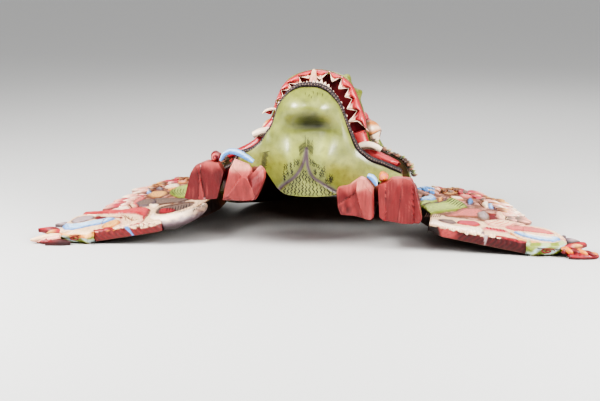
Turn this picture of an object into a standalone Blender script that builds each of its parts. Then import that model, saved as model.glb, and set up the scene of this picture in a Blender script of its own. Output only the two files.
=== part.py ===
"""Barong mask of carved and painted wood, lying face up.

+X is the viewer's right, +Y runs from the chin to the crown and +Z points out of the face.
Sizes are in millimetres, measured from the throat under the chin, and become metres when placed.
"""
import math
from collections import namedtuple

import bmesh
import bpy
import numpy as np

MM = 0.001
GAP = 0.3

# Head: chin end at the throat, crown at the far end
NEAR_END_Y = -30.0
CROWN_Y = 272.0
CENTRE_Y = (NEAR_END_Y + CROWN_Y) / 2
SHELL_WALL = 9.0
SHELL_FRONT_Y = 60.0
SHELL_BACK_INNER_Y = CROWN_Y - SHELL_WALL
PALATE_THICK = 3.4
PALATE_Y = SHELL_FRONT_Y - GAP - PALATE_THICK
LIP_THICK = 8.0
LIP_BACK_Y = PALATE_Y - GAP
JAW_WALL = 8.0
JAW_HALF_WIDTH = 92.0
RIM_BEAD_RADIUS = 2.6

# Wings: a flat board raised at its root, with the outer end lying flat
WING_PIVOT_X = 228.0
WING_ROOT_RISE = 23.0
WING_TILT = math.atan(WING_ROOT_RISE / (WING_PIVOT_X - 100.0))
HEAD_SIDE_X = 101.0
WING_ROOT_X = WING_PIVOT_X - (WING_PIVOT_X - HEAD_SIDE_X - GAP) / math.cos(WING_TILT)
BOARD_THICK = 11.0
RELIEF_BASE = BOARD_THICK + GAP
BULB_THICK = 17.0
TIP_THICK = 10.0
TIP_X = 284.0

# Cross-sections of the head, chin to crown: half-widths (w) and heights (z) of its outer profile
Section = namedtuple("Section", "y rim_z rim_w cheek_w cheek_z mid_w mid_z side_w side_z arch_w arch_z top_z")
SECTIONS = [
    Section(60, 42, 100, 95, 72, 60, 98, 46.5, 130, 31.5, 160, 172),
    Section(85, 30, 101, 96, 66, 60, 92, 48.5, 129, 32, 152, 161),
    Section(110, 21, 101, 96, 60, 59, 90, 50, 118, 32, 138, 144),
    Section(140, 15, 100, 90, 54, 60, 84, 51, 106, 32, 125, 131),
    Section(175, 9, 96, 85, 48, 66, 75, 51, 97, 30, 112, 117),
    Section(205, 4, 88, 77, 41, 59, 63, 43, 82, 25, 95, 99),
    Section(235, 1, 74, 64, 32, 50, 49, 35, 61, 19, 70, 73),
    Section(258, 0, 55, 46, 20, 36, 33, 24, 42, 13, 47, 49),
    Section(268, 0, 43, 35, 9, 26, 16, 17, 21, 9, 24, 25),
    Section(CROWN_Y, 0, 34, 29, 4, 22, 6, 15, 7, 7.5, 7.8, 8),
]
MUZZLE_LEAN = 3.5
MUZZLE_LOW_Z = 92.0
MUZZLE_HIGH_Z = 122.0
MUZZLE_END_Y = 150.0
PROFILE_STOPS = [0.0, 0.19, 0.37, 0.56, 0.81, 0.92, 1.0]
WALL_POINT = 0.4
CROWN_SLOT = 0.25

# Lower jaw: outline above the throat, at each distance from the centre
JawColumn = namedtuple("JawColumn", "x rim_z throat_z")
JAW_COLUMNS = [
    JawColumn(0, 159, 50), JawColumn(8, 158.5, 50), JawColumn(15, 156, 50.5), JawColumn(24, 149, 52),
    JawColumn(31, 139, 57), JawColumn(38, 119, 66), JawColumn(45, 100, 75), JawColumn(55, 88.5, 71),
    JawColumn(75, 78, 60), JawColumn(JAW_HALF_WIDTH, 69, 50),
]
JAW_SPREAD = 0.004

# Swellings (negative) and hollows (positive) of the jaw: centre, half-widths and depth
Swelling = namedtuple("Swelling", "x z width height depth")
JAW_SWELLINGS = [
    Swelling(0, 141, 26, 12, -17), Swelling(0, 120, 15, 9, 15),
    Swelling(-17, 86, 13, 18, -7), Swelling(17, 86, 13, 18, -7),
]

# Red lobes: outline seen from the chin, and the sections that it passes through on its way back
LobeRing = namedtuple("LobeRing", "y shift_x shift_z scale")
Lobe = namedtuple("Lobe", "name rings outline")
LOBE_BACK_Y = SHELL_FRONT_Y - GAP
LOBES = [
    Lobe("lobe_outer_left",
         [LobeRing(-22, 0, 0, 0.9), LobeRing(-12, 0, 0, 1), LobeRing(30, -3, -1, 0.54),
          LobeRing(LOBE_BACK_Y, -5.5, -8, 0.5)],
         [(-121, 51), (-114, 75), (-112, 82), (-98, 87.5), (-86, 86), (-80, 76), (-88, 50), (-111, 49.5)]),
    Lobe("lobe_inner_left",
         [LobeRing(-28, 0, 0, 0.9), LobeRing(-23, 0, 0, 1), LobeRing(14.2, -12, -2, 0.6)],
         [(-83, 48.5), (-79, 66), (-75.7, 79), (-70, 90.5), (-56.5, 85), (-43, 83), (-39.6, 72.5), (-44, 59),
          (-49, 50), (-57, 48)]),
    Lobe("lobe_inner_right",
         [LobeRing(-28, 0, 0, 0.9), LobeRing(-23, 0, 0, 1), LobeRing(17, 13, 0.5, 0.55)],
         [(30.5, 60), (32.5, 65), (42.5, 67), (54.5, 76), (60, 74.5), (67, 65), (67.5, 35), (64.5, 32), (56, 34),
          (47, 36.5), (34.5, 37), (31.5, 46)]),
    Lobe("lobe_outer_right",
         [LobeRing(-24, 0, 0, 0.9), LobeRing(-13.5, 0, 0, 1), LobeRing(30, 13, -1, 0.55),
          LobeRing(LOBE_BACK_Y, 15.5, -1, 0.52)],
         [(70, 60), (70.5, 68.5), (78, 71), (85, 75), (97, 76), (104, 74.5), (108, 66), (116, 33.5),
          (113.5, 28.5), (96, 27.5), (77, 30.5), (71.5, 34)]),
]

# Wing outlines: distance from the mask's middle, and place along the mask
CROWN_EDGE = {
    "right": [(WING_ROOT_X, 116), (112, 130), (127, 141), (149, 153), (165, 152), (182, 139), (195, 130), (205, 104),
              (215, 76), (221, 58), (226, 45)],
    "left": [(WING_ROOT_X, 188), (113, 201), (133, 211), (155, 214), (175, 209), (193, 199), (207, 182), (216, 158),
             (221, 125), (223, 92), (225, 62), (226, 48)],
}
BOARD_END_X = 214.0
BOARD_REST = {
    "right": [(BOARD_END_X, 44.5), (BOARD_END_X, -20), (131, -20), (124, -12), (122, 34), (WING_ROOT_X, 60)],
    "left": [(BOARD_END_X, 46.5), (BOARD_END_X, -20), (124, -20), (106, -12), (WING_ROOT_X, 0)],
}
BORDER_WIDTH = 19.0
SCALLOP_COUNT = 9
SCALLOP_DEPTH = 4.5

Relief = namedtuple("Relief", "name paint base top outline")
RELIEFS = {
    "right": [
        Relief("wing_leaf_right", "leaf_green", RELIEF_BASE, 16, [
            (124.5, 1), (124, 36), (107, 64), (111, 90), (124, 105), (143, 108), (155, 100), (157, 72), (145, 34),
            (134, 3)]),
        Relief("wing_plume_right", "shell_pink", RELIEF_BASE, 17, [
            (149, 5), (161, 34), (165, 74), (175, 90), (184, 84), (192, 62), (200, 42), (203, 4), (180, -3)]),
        Relief("wing_eye_right", "eye_white", 16 + GAP, 20, [
            (117, 68), (115, 76), (117, 85), (123, 90), (127, 82), (125, 72), (121, 66)]),
    ],
    "left": [
        Relief("wing_leaf_left", "leaf_green", RELIEF_BASE, 16, [
            (112, 58), (112, 140), (127, 170), (148, 186), (163, 180), (168, 130), (160, 84), (140, 62)]),
        Relief("wing_plume_left", "cream", RELIEF_BASE, 17, [
            (170, 66), (172, 100), (177, 150), (190, 158), (195, 120), (195, 84), (199, 68)]),
        Relief("wing_band_left", "lip_red", RELIEF_BASE, 18, [
            (202, 60), (194, 58), (180, 46), (169, 20), (165.5, -14), (172, -15), (183, 6), (193, 26), (202.8, 34),
            (202.8, 50)]),
    ],
}
FRINGE_SPANS = {"right": (126.0, 212.0, 11), "left": (179.0, 212.0, 5)}
FRINGE_EDGE_Y = -22.0
FRINGE_NOTCH = 5.0
FRINGE_TOP_Y = -6.0
FRINGE_THICK = 4.5

BULB_OUTLINE = {
    "right": [(216, -22), (228, -25), (244, -21), (254, -9), (252, 8), (241, 27), (228, 39), (216, 42.5)],
    "left": [(216, -23), (229, -26), (245, -23), (254, -11), (253, 10), (244, 28), (230, 41), (216, 44.5)],
}
BulbRing = namedtuple("BulbRing", "z scale")
BULB_RINGS = [BulbRing(0, 0.72), BulbRing(5, 0.94), BulbRing(9, 1.0), BulbRing(14, 0.96), BulbRing(17, 0.8)]
TIP_OUTLINE = {
    "right": [(254.6, -26), (266, NEAR_END_Y), (TIP_X, -24), (283, -16), (275, -13), (273, -2), (267, -9),
              (263, 11), (258, 4), (254.6, -4)],
    "left": [(254.6, -26), (266, NEAR_END_Y), (TIP_X, -22), (283, -15), (277, -11), (279, -3), (270, -3),
             (268, 8), (264, 13), (258, 6), (254.6, -4)],
}

# Paint finishes: colour, roughness and metallic value
PAINTS = {
    "skin_green": ((0.36, 0.38, 0.13), 0.42),
    "leaf_green": ((0.30, 0.36, 0.12), 0.5),
    "lip_red": ((0.58, 0.12, 0.13), 0.4),
    "mouth_red": ((0.14, 0.012, 0.015), 0.5),
    "lobe_red": ((0.42, 0.07, 0.08), 0.45),
    "rim_grey": ((0.10, 0.07, 0.08), 0.6),
    "tooth_white": ((0.80, 0.68, 0.55), 0.4),
    "cream": ((0.78, 0.62, 0.46), 0.5),
    "shell_pink": ((0.72, 0.42, 0.36), 0.5),
    "scroll_brown": ((0.40, 0.21, 0.12), 0.5),
    "ribbon_blue": ((0.18, 0.36, 0.62), 0.4),
    "curl_orange": ((0.58, 0.24, 0.08), 0.45),
    "eye_white": ((0.75, 0.62, 0.5), 0.3),
    "wall_red": ((0.24, 0.03, 0.035), 0.55),
    "tip_red": ((0.34, 0.07, 0.06), 0.5),
}


def smooth(knots, values, at):
    """Smooth curve through the values at the knots, read at the given places."""
    knots = np.asarray(knots, float)
    values = np.asarray(values, float)
    slopes = np.gradient(values, knots, axis=0)
    at = np.clip(np.asarray(at, float), knots[0], knots[-1])
    left = np.clip(np.searchsorted(knots, at, side="right") - 1, 0, len(knots) - 2)
    span = knots[left + 1] - knots[left]
    t = (at - knots[left]) / span
    if values.ndim > 1:
        t = np.expand_dims(t, -1)
        span = np.expand_dims(span, -1)
    start = (1 + 2 * t) * (1 - t) ** 2 * values[left] + t * (1 - t) ** 2 * span * slopes[left]
    end = t * t * (3 - 2 * t) * values[left + 1] + t * t * (t - 1) * span * slopes[left + 1]
    return start + end


def metres(points):
    """Moves points from the chin's frame to the object's frame, in metres."""
    return (np.asarray(points, float) - (0.0, CENTRE_Y, 0.0)) * MM


def face_section(y, inner=False):
    """Half-widths and heights at the profile stops, from the middle of the top to the back rim."""
    rows = np.array(SECTIONS, float)
    (rim_z, rim_w, cheek_w, cheek_z, mid_w, mid_z, side_w, side_z, arch_w, arch_z, top_z) = smooth(
        rows[:, 0], rows[:, 1:], y)
    wall_z = rim_z + WALL_POINT * (cheek_z - rim_z)
    widths = np.array([0, arch_w, side_w, mid_w, cheek_w, rim_w, rim_w])
    heights = np.array([top_z, arch_z, side_z, mid_z, cheek_z, wall_z, rim_z])
    if inner:
        widths = widths * (1 - SHELL_WALL / rim_w)
        heights = rim_z + (heights - rim_z) * max(CROWN_SLOT, 1 - SHELL_WALL / (top_z - rim_z))
    return widths, heights


def face_profile(y, stops, inner=False):
    """Points of the head's profile at y; stops run from -1 at the left rim to 1 at the right rim.

    The carver set the muzzle a little to the right of the middle.
    """
    widths, heights = face_section(y, inner)
    knots = np.concatenate([-np.array(PROFILE_STOPS[:0:-1]), PROFILE_STOPS])
    xs = np.concatenate([-widths[:0:-1], widths])
    zs = np.concatenate([heights[:0:-1], heights])
    points = smooth(knots, np.stack([xs, zs], axis=1), stops)
    x, z = points[..., 0], points[..., 1]
    rise = np.clip((z - MUZZLE_LOW_Z) / (MUZZLE_HIGH_Z - MUZZLE_LOW_Z), 0, 1)
    reach = np.clip((MUZZLE_END_Y - y) / (MUZZLE_END_Y - SHELL_FRONT_Y), 0, 1)
    return x + MUZZLE_LEAN * rise * reach, z


def face_normal(y, stop):
    """Outward direction across the head's profile."""
    step = 0.004
    x0, z0 = face_profile(y, np.array(stop - step))
    x1, z1 = face_profile(y, np.array(stop + step))
    length = math.hypot(x1 - x0, z1 - z0)
    return -(z1 - z0) / length, (x1 - x0) / length


def jaw_front(x, z):
    """How far the jaw's outer surface lies from the throat, along Y."""
    rim_z = smooth([c.x for c in JAW_COLUMNS], [c.rim_z for c in JAW_COLUMNS], abs(x))
    y = JAW_SPREAD * x * x
    for s in JAW_SWELLINGS:
        y += s.depth * math.exp(-((x - s.x) / s.width) ** 2 - ((z - s.z) / s.height) ** 2)
    lip = math.exp(-max(rim_z - z, 0.0) / 9.0)
    return y + lip * 12.0 * math.exp(-(x / 45.0) ** 2)


def collection(name):
    group = bpy.data.collections.new(name)
    bpy.context.scene.collection.children.link(group)
    return group


def paint(name):
    """Painted wood finish, made once and shared."""
    material = bpy.data.materials.get(name)
    if material is None:
        colour, roughness = PAINTS[name]
        material = bpy.data.materials.new(name)
        material.use_nodes = True
        shader = material.node_tree.nodes["Principled BSDF"]
        shader.inputs["Base Color"].default_value = (*colour, 1.0)
        shader.inputs["Roughness"].default_value = roughness
        shader.inputs["Metallic"].default_value = 0.0
    return material


def add_object(name, data, paint_name, parent=None):
    obj = bpy.data.objects.new(name, data)
    data.materials.append(paint(paint_name))
    MASK.objects.link(obj)
    obj.parent = parent
    return obj


def add_grid(bm, grid):
    """Adds a grid of points as faces and returns its vertices."""
    rows = [[bm.verts.new(point) for point in row] for row in grid]
    for a, b in zip(rows, rows[1:]):
        for i in range(len(a) - 1):
            bm.faces.new((a[i], a[i + 1], b[i + 1], b[i]))
    return rows


def border(rows):
    """Vertices round the edge of a grid, in order."""
    return (rows[0][:-1] + [r[-1] for r in rows[:-1]] + rows[-1][:0:-1] + [r[0] for r in rows[:0:-1]])


def slab(name, front, back, paint_name):
    """Closed solid between two grids of points that match each other."""
    bm = bmesh.new()
    rings = [border(add_grid(bm, metres(grid))) for grid in (front, back)]
    count = len(rings[0])
    for i in range(count):
        j = (i + 1) % count
        bm.faces.new((rings[0][i], rings[0][j], rings[1][j], rings[1][i]))
    bmesh.ops.recalc_face_normals(bm, faces=bm.faces)
    mesh = bpy.data.meshes.new(name)
    bm.to_mesh(mesh)
    bm.free()
    mesh.shade_smooth()
    mesh.set_sharp_from_angle(angle=math.radians(40))
    return add_object(name, mesh, paint_name)


def loft(name, rings, paint_name):
    """Closed solid through rings of points, with a flat face at each end."""
    bm = bmesh.new()
    rows = [[bm.verts.new(point) for point in metres(ring)] for ring in rings]
    for a, b in zip(rows, rows[1:]):
        for i in range(len(a)):
            j = (i + 1) % len(a)
            bm.faces.new((a[i], a[j], b[j], b[i]))
    bm.faces.new(rows[0])
    bm.faces.new(rows[-1])
    bmesh.ops.recalc_face_normals(bm, faces=bm.faces)
    mesh = bpy.data.meshes.new(name)
    bm.to_mesh(mesh)
    bm.free()
    return add_object(name, mesh, paint_name)


def outline_curve(name, outline, thick, paint_name, parent=None):
    """Flat outline with a thickness, centred on its own plane."""
    curve = bpy.data.curves.new(name, "CURVE")
    curve.dimensions = "2D"
    curve.fill_mode = "BOTH"
    curve.extrude = thick * MM / 2
    spline = curve.splines.new("POLY")
    spline.points.add(len(outline) - 1)
    for point, (x, y) in zip(spline.points, outline):
        point.co = (x * MM, y * MM, 0, 1)
    spline.use_cyclic_u = True
    return add_object(name, curve, paint_name, parent)


def upright_slab(name, outline, front_y, thick, paint_name):
    """Outline given in X and Z, standing across the mask with its thickness along Y."""
    obj = outline_curve(name, outline, thick, paint_name)
    obj.location = metres((0, front_y + thick / 2, 0))
    obj.rotation_euler.x = math.radians(90)
    return obj


def tube(name, points, radii, paint_name):
    """Round bar through the points, with a radius at each."""
    curve = bpy.data.curves.new(name, "CURVE")
    curve.dimensions = "3D"
    curve.bevel_depth = MM
    curve.bevel_resolution = 2
    curve.use_fill_caps = True
    spline = curve.splines.new("POLY")
    spline.points.add(len(points) - 1)
    for point, place, radius in zip(spline.points, metres(points), radii):
        point.co = (*place, 1)
        point.radius = radius
    return add_object(name, curve, paint_name)


def offset_line(points, distance):
    """Moves each point of an open line sideways, to the left of its direction."""
    points = np.asarray(points, float)
    run = np.gradient(points, axis=0)
    run /= np.linalg.norm(run, axis=1)[:, None]
    distance = np.broadcast_to(distance, len(points))[:, None]
    return points + distance * np.stack([-run[:, 1], run[:, 0]], axis=1)


def resample(points, count):
    """Points spread evenly along a smooth line through the given ones."""
    points = np.asarray(points, float)
    steps = np.linalg.norm(np.diff(points, axis=0), axis=1)
    along = np.concatenate([[0], np.cumsum(steps)])
    return smooth(along, points, np.linspace(0, along[-1], count))


def build_shell():
    """Hollow carved head, open behind and at the mouth."""
    stops = np.sort(np.concatenate([np.linspace(-1, 1, 37)[1:-1], [-1, 1], [-0.97, 0.97]]))
    places = [60, 67, 75, 84, 93, 102, 112, 124, 138, 153, 168, 184, 200, 215, 229, 241, 251, 259, 265, 269,
              CROWN_Y]
    squeeze = (SHELL_BACK_INNER_Y - SHELL_FRONT_Y) / (CROWN_Y - SHELL_FRONT_Y)
    outer = []
    inner = []
    for y in places:
        x, z = face_profile(y, stops)
        outer.append(np.stack([x, np.full_like(x, y), z], axis=1))
        x, z = face_profile(y, stops, inner=True)
        inner_y = SHELL_FRONT_Y + (y - SHELL_FRONT_Y) * squeeze
        inner.append(np.stack([x, np.full_like(x, inner_y), z], axis=1))
    slab("face_shell", outer, inner, "skin_green")


def build_palate():
    """Dark inside of the mouth: a shallow vault behind the lips, held between the lip and the head."""
    vault_depth = 22.0
    floor_z = 64.0
    stops = np.linspace(-0.78, 0.78, 27)
    x, z = face_profile(SHELL_FRONT_Y, stops)
    front = []
    back = []
    for reach in (0.0, 0.2, 0.4, 0.58, 0.72, 0.84, 0.97):
        px = x * (0.72 + 0.28 * reach) * (0.985 if reach > 0.9 else 1.0)
        pz = floor_z + (z - floor_z) * reach
        inside = np.clip((0.7 - reach) / 0.5, 0, 1) * np.clip((0.7 - abs(stops)) / 0.3, 0, 1)
        depth = vault_depth * inside * inside * (3 - 2 * inside)
        front.append(np.stack([px, PALATE_Y + depth, pz], axis=1))
        back.append(np.stack([px, PALATE_Y + PALATE_THICK + depth, pz], axis=1))
    slab("palate", front, back, "mouth_red")


def lip_band(start, stop, count, inset, depths):
    """Closed outline of a band that follows the head's front edge, from its outer side to the given depths."""
    stops = np.linspace(start, stop, count)
    x, z = face_profile(SHELL_FRONT_Y, stops)
    edge = np.stack([x, z], axis=1)
    outer = offset_line(edge, -inset)
    inner = offset_line(edge, -np.asarray(depths, float))
    return np.concatenate([outer, inner[::-1]])


def build_lips():
    """Saw-toothed upper lip, its two tails on the cheeks, and the beaded rim of the lower jaw."""
    teeth = 12
    count = 2 * teeth + 1
    tooth_depth = np.where(np.arange(count) % 2 == 0, 6.5, 14.5)
    across = np.abs(np.linspace(-1, 1, count))
    depths = tooth_depth * (0.72 + 0.28 * across)
    outline = lip_band(-0.47, 0.47, count, 0.0, depths)
    upright_slab("upper_lip", outline, LIP_BACK_Y - LIP_THICK, LIP_THICK, "lip_red")
    for side, name in ((-1, "left"), (1, "right")):
        start, stop = sorted((side * 0.49, side * 0.745))
        widths = np.linspace(15, 5, 9)
        outline = lip_band(start, stop, 9, 1.0, widths if side > 0 else widths[::-1])
        upright_slab("lip_tail_" + name, outline, LIP_BACK_Y - LIP_THICK, LIP_THICK, "lip_red")
    edge = jaw_edge(np.linspace(-JAW_HALF_WIDTH + 3, JAW_HALF_WIDTH - 3, 33))
    raised = offset_line(edge[:, [0, 2]], RIM_BEAD_RADIUS + GAP + 0.1)
    path = np.stack([raised[:, 0], edge[:, 1] + 0.45 * JAW_WALL, raised[:, 1]], axis=1)
    tube("lower_lip", path, [RIM_BEAD_RADIUS] * len(path), "rim_grey")


def jaw_edge(xs):
    """Points of the jaw's outer edge, evenly spread between the first and last of the given places."""
    fine = np.linspace(xs[0], xs[-1], 400)
    z = smooth([c.x for c in JAW_COLUMNS], [c.rim_z for c in JAW_COLUMNS], np.abs(fine))
    line = resample(np.stack([fine, z], axis=1), len(xs))
    return np.array([(x, jaw_front(x, z), z) for x, z in line])


def build_jaw():
    """Green lower jaw: a bell-shaped wall with a chin boss, a hollow below it and two throat swellings."""
    flare_start = 80.0
    flare_end = 87.0
    back_y = LIP_BACK_Y
    columns = jaw_edge(np.linspace(-JAW_HALF_WIDTH, JAW_HALF_WIDTH, 37))
    throat = smooth([c.x for c in JAW_COLUMNS], [c.throat_z for c in JAW_COLUMNS], np.abs(columns[:, 0]))
    front = []
    back = []
    for up in np.linspace(0, 1, 16):
        front_row = []
        back_row = []
        for (x, _, rim_z), throat_z in zip(columns, throat):
            z = throat_z + up * (rim_z - throat_z)
            y = jaw_front(x, z)
            blend = min(max((abs(x) - flare_start) / (flare_end - flare_start), 0.0), 1.0)
            front_row.append((x, y, z))
            back_row.append((x, (1 - blend) * (y + JAW_WALL) + blend * back_y, z))
        front.append(front_row)
        back.append(back_row)
    slab("lower_jaw", front, back, "skin_green")


def build_teeth():
    """Row of low teeth behind the jaw's rim, the front tooth and the two tusks."""
    count = 33
    edge = jaw_edge(np.linspace(-35, 35, count))
    line = edge[:, [0, 2]]
    middle = np.exp(-(edge[:, 0] / 16) ** 2)
    point_height = np.where(np.arange(count) % 2 == 0, 1.0, 0.45)
    low = offset_line(line, -2.5)
    high = offset_line(line, (3.5 + 4.5 * middle) * point_height)
    grids = []
    for behind in (JAW_WALL + GAP, JAW_WALL + GAP + 3.6):
        y = edge[:, 1] + behind
        grids.append([np.stack([row[:, 0], y, row[:, 1]], axis=1) for row in (low, line, high)])
    slab("lower_teeth", grids[0], grids[1], "tooth_white")
    front = LIP_BACK_Y - LIP_THICK - GAP
    upright_slab("front_tooth", [(-5.5, 158), (4.5, 158), (3.4, 167), (1.8, 174), (-0.2, 174.5), (-3.2, 168)],
                 front - 6, 6, "tooth_white")
    radius = 3.8
    middle_y = front - radius - 0.1
    for name, side, inset, lift in (("left", -1, 5.0, 10.0), ("right", 1, 0.0, 0.0)):
        run = resample([(46, 99), (58, 97), (70, 89)], 9)
        points = [(side * (x - inset), middle_y, z + lift) for x, z in run]
        tube("tusk_" + name, points, np.linspace(0.8, 1.0, 9) * radius, "tooth_white")


def face_relief(name, place, height, paint_name, across=9, along=9):
    """Raised form that hugs the head: place and height are functions of u and v, each from -1 to 1."""
    low = []
    high = []
    for v in np.linspace(-1, 1, along):
        low_row = []
        high_row = []
        for u in np.linspace(-1, 1, across):
            stop, y = place(u, v)
            x, z = face_profile(y, np.array(stop))
            nx, nz = face_normal(y, stop)
            for row, lift in ((low_row, 2 * GAP), (high_row, 2 * GAP + height(u, v))):
                row.append((x + nx * lift, y, z + nz * lift))
        low.append(low_row)
        high.append(high_row)
    slab(name, high, low, paint_name)


def disc(u, v):
    """Maps the square from -1 to 1 onto a disc."""
    return u * math.sqrt(1 - v * v / 2), v * math.sqrt(1 - u * u / 2)


def build_features():
    """Nose, eyes, brows and the tufts of the cheeks, raised on the head."""
    def nose_place(u, v):
        width = 0.20 - 0.05 * v
        return u * width, 80 + 15 * v

    def nose_height(u, v):
        nostril = math.exp(-((abs(u) - 0.7) / 0.3) ** 2)
        return (2.0 + 3.0 * (1 - v * v)) * (0.7 + 0.4 * nostril) * (1 - 0.4 * u ** 4)

    face_relief("nose", nose_place, nose_height, "skin_green", across=13)
    for side, name in ((-1, "left"), (1, "right")):
        def eye_place(u, v):
            du, dv = disc(u, v)
            return side * (0.475 + 0.082 * du), 121 + 16 * dv

        def eye_height(u, v):
            du, dv = disc(u, v)
            return 2.0 + 7.5 * math.sqrt(max(0.0, 1 - du * du - dv * dv))

        def brow_place(u, v):
            middle = 0.25 + 0.14 * u
            return side * middle, 153 + 9 * (1 - u * u) + 6 * v

        def brow_height(u, v):
            return 2.0 + 6.0 * (1 - v * v) * (1 - 0.6 * u * u)

        def tuft_place(u, v):
            return side * (0.70 + 0.13 * u), 84 + 18 * v + 3 * u

        def tuft_height(u, v):
            scallop = abs(math.sin(2.5 * math.pi * (u + 1) / 2))
            return 2.0 + 5.0 * (0.4 + 0.6 * scallop) * (1 - 0.5 * v * v)

        face_relief("eye_" + name, eye_place, eye_height, "eye_white", across=11, along=11)
        face_relief("brow_" + name, brow_place, brow_height, "scroll_brown", across=11, along=5)
        face_relief("cheek_tuft_" + name, tuft_place, tuft_height, "leaf_green", across=13, along=7)


def build_lobes():
    """Four chiselled red lobes that hang at the cheeks, with the blue ribbons and curls on top of them."""
    for lobe in LOBES:
        outline = np.array(lobe.outline, float)
        middle = outline.mean(axis=0)
        rings = []
        for ring in lobe.rings:
            points = middle + (ring.shift_x, ring.shift_z) + (outline - middle) * ring.scale
            rings.append([(x, ring.y, z) for x, z in points])
        loft(lobe.name, rings, "lobe_red")
    ribbon_front = -22.6
    ribbon_deep = 8.0
    upright_slab("ribbon_left", [(-84, 88.5), (-76, 90), (-70.2, 91.3), (-56.5, 86), (-51, 85.2), (-51, 88.5),
                                 (-60, 93.5), (-70, 97), (-78, 96), (-84, 93)], ribbon_front, ribbon_deep,
                 "ribbon_blue")
    upright_slab("ribbon_right", [(60.8, 75), (68, 66.4), (69.2, 67.5), (69.2, 74), (65, 78)], ribbon_front,
                 ribbon_deep, "ribbon_blue")
    for name, x, z, radius in (("ear_curl_left", -91, 91.8, 4.5), ("ear_curl_right", 75, 74.6, 3.8)):
        ring = [(x + radius * math.cos(a), z + radius * math.sin(a)) for a in np.linspace(0, math.tau, 13)[:-1]]
        loft(name, [[(px, y, pz) for px, pz in ring] for y in (-18.0, -4.0)], "curl_orange")


def wing_frame(name, side):
    """Empty at the line where the board leaves the floor; side is -1 on the left and 1 on the right."""
    frame = bpy.data.objects.new("frame_" + name, None)
    MASK.objects.link(frame)
    frame.location = metres((side * WING_PIVOT_X, 0, 0))
    frame.rotation_euler.y = side * WING_TILT
    return frame


def wing_slab(name, frame, side, outline, base, top, paint_name):
    """Flat piece of a wing in the board's own tilted plane, between two heights."""
    local = [(side * (x - WING_PIVOT_X), y) for x, y in outline]
    obj = outline_curve(name, local, top - base, paint_name, frame)
    obj.location.z = (base + top) / 2 * MM
    return obj


def floor_slab(name, side, outline, top, paint_name):
    """Flat piece at a wing's end, lying on the ground plane."""
    obj = outline_curve(name, [(side * x, y) for x, y in outline], top, paint_name)
    obj.location = metres((0, 0, top / 2))
    return obj


def scalloped_strip(edge, width, count, depth):
    """Strip inside the edge, whose outer side swells in rounded scallops."""
    line = resample(edge, count * 6 + 1)
    phase = np.linspace(0, count * math.pi, len(line))
    outer = offset_line(line, -1.0 + depth * np.abs(np.sin(phase)))
    inner = offset_line(resample(edge, 21), -width)
    return np.concatenate([outer, inner[::-1]])


def fringe_outline(start, end, spikes):
    """Band along the board's lower edge, with a row of hanging spikes."""
    pitch = (end - start) / spikes
    outline = [(end, FRINGE_TOP_Y), (start, FRINGE_TOP_Y + 1)]
    for i in range(spikes):
        x = start + i * pitch
        outline.append((x, FRINGE_EDGE_Y + FRINGE_NOTCH))
        outline.append((x + 0.55 * pitch, FRINGE_EDGE_Y))
    outline.append((end, FRINGE_EDGE_Y + FRINGE_NOTCH))
    return outline


def ring_segment(centre, outer, inner, inner_shift, start, end, count):
    """Crescent between two ellipses, between two angles in degrees."""
    angles = np.radians(np.linspace(start, end, count))
    outside = [(centre[0] + outer[0] * math.cos(a), centre[1] + outer[1] * math.sin(a)) for a in angles]
    hub = (centre[0] + inner_shift[0], centre[1] + inner_shift[1])
    inside = [(hub[0] + inner[0] * math.cos(a), hub[1] + inner[1] * math.sin(a)) for a in angles[::-1]]
    return outside + inside


def build_bulb(name, side, outline):
    """Rounded end of a wing, flat below where it rests and smaller at its top."""
    middle = outline.mean(axis=0)
    rings = []
    for ring in BULB_RINGS:
        points = middle + (outline - middle) * ring.scale
        rings.append([(side * x, y, ring.z) for x, y in points])
    loft(name, rings, "cream")


def build_wings():
    """Two carved wings, each a thin board with painted relief, a bulb at its end and a curled tip."""
    for side, name in ((-1, "left"), (1, "right")):
        frame = wing_frame(name, side)
        board = CROWN_EDGE[name] + BOARD_REST[name]
        wing_slab("wing_board_" + name, frame, side, board, 0, BOARD_THICK, "wall_red")
        strip = scalloped_strip(CROWN_EDGE[name][:-1], BORDER_WIDTH, SCALLOP_COUNT, SCALLOP_DEPTH)
        wing_slab("wing_border_" + name, frame, side, strip, RELIEF_BASE, RELIEF_BASE + 6.5, "scroll_brown")
        for relief in RELIEFS[name]:
            wing_slab(relief.name, frame, side, relief.outline, relief.base, relief.top, relief.paint)
        fringe = fringe_outline(*FRINGE_SPANS[name])
        wing_slab("wing_fringe_" + name, frame, side, fringe, RELIEF_BASE, RELIEF_BASE + FRINGE_THICK, "cream")
        build_bulb("wing_bulb_" + name, side, np.array(BULB_OUTLINE[name], float))
        floor_slab("wing_tip_" + name, side, TIP_OUTLINE[name], TIP_THICK, "tip_red")
        if name == "left":
            horn = ring_segment((134, 17), (29, 35), (19, 25), (2, 4), 95, 355, 19)
            wing_slab("wing_horn_left", frame, side, horn, RELIEF_BASE, 19, "cream")
    swirl = [(-236 + 6 * math.cos(a), -8 + 6 * math.sin(a)) for a in np.linspace(0, math.tau, 13)[:-1]]
    eye = outline_curve("wing_eye_left", swirl, 3, "curl_orange")
    eye.location = metres((0, 0, BULB_THICK + GAP + 1.5))


for old in list(bpy.data.objects):
    bpy.data.objects.remove(old, do_unlink=True)
MASK = collection("barong_mask")
build_shell()
build_palate()
build_jaw()
build_lips()
build_teeth()
build_features()
build_lobes()
build_wings()
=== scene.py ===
"""Looks of a carved and painted barong mask that lies face up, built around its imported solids.

Sizes are millimetres from the throat under the chin: +X to the viewer's right, +Y to the crown, +Z out of the face.
"""
import logging
import math
from collections.abc import Callable, Iterable, Sequence
from dataclasses import dataclass, field
from enum import Enum
from functools import cache

import bmesh
import bpy
import numpy as np
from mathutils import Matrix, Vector, geometry


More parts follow.
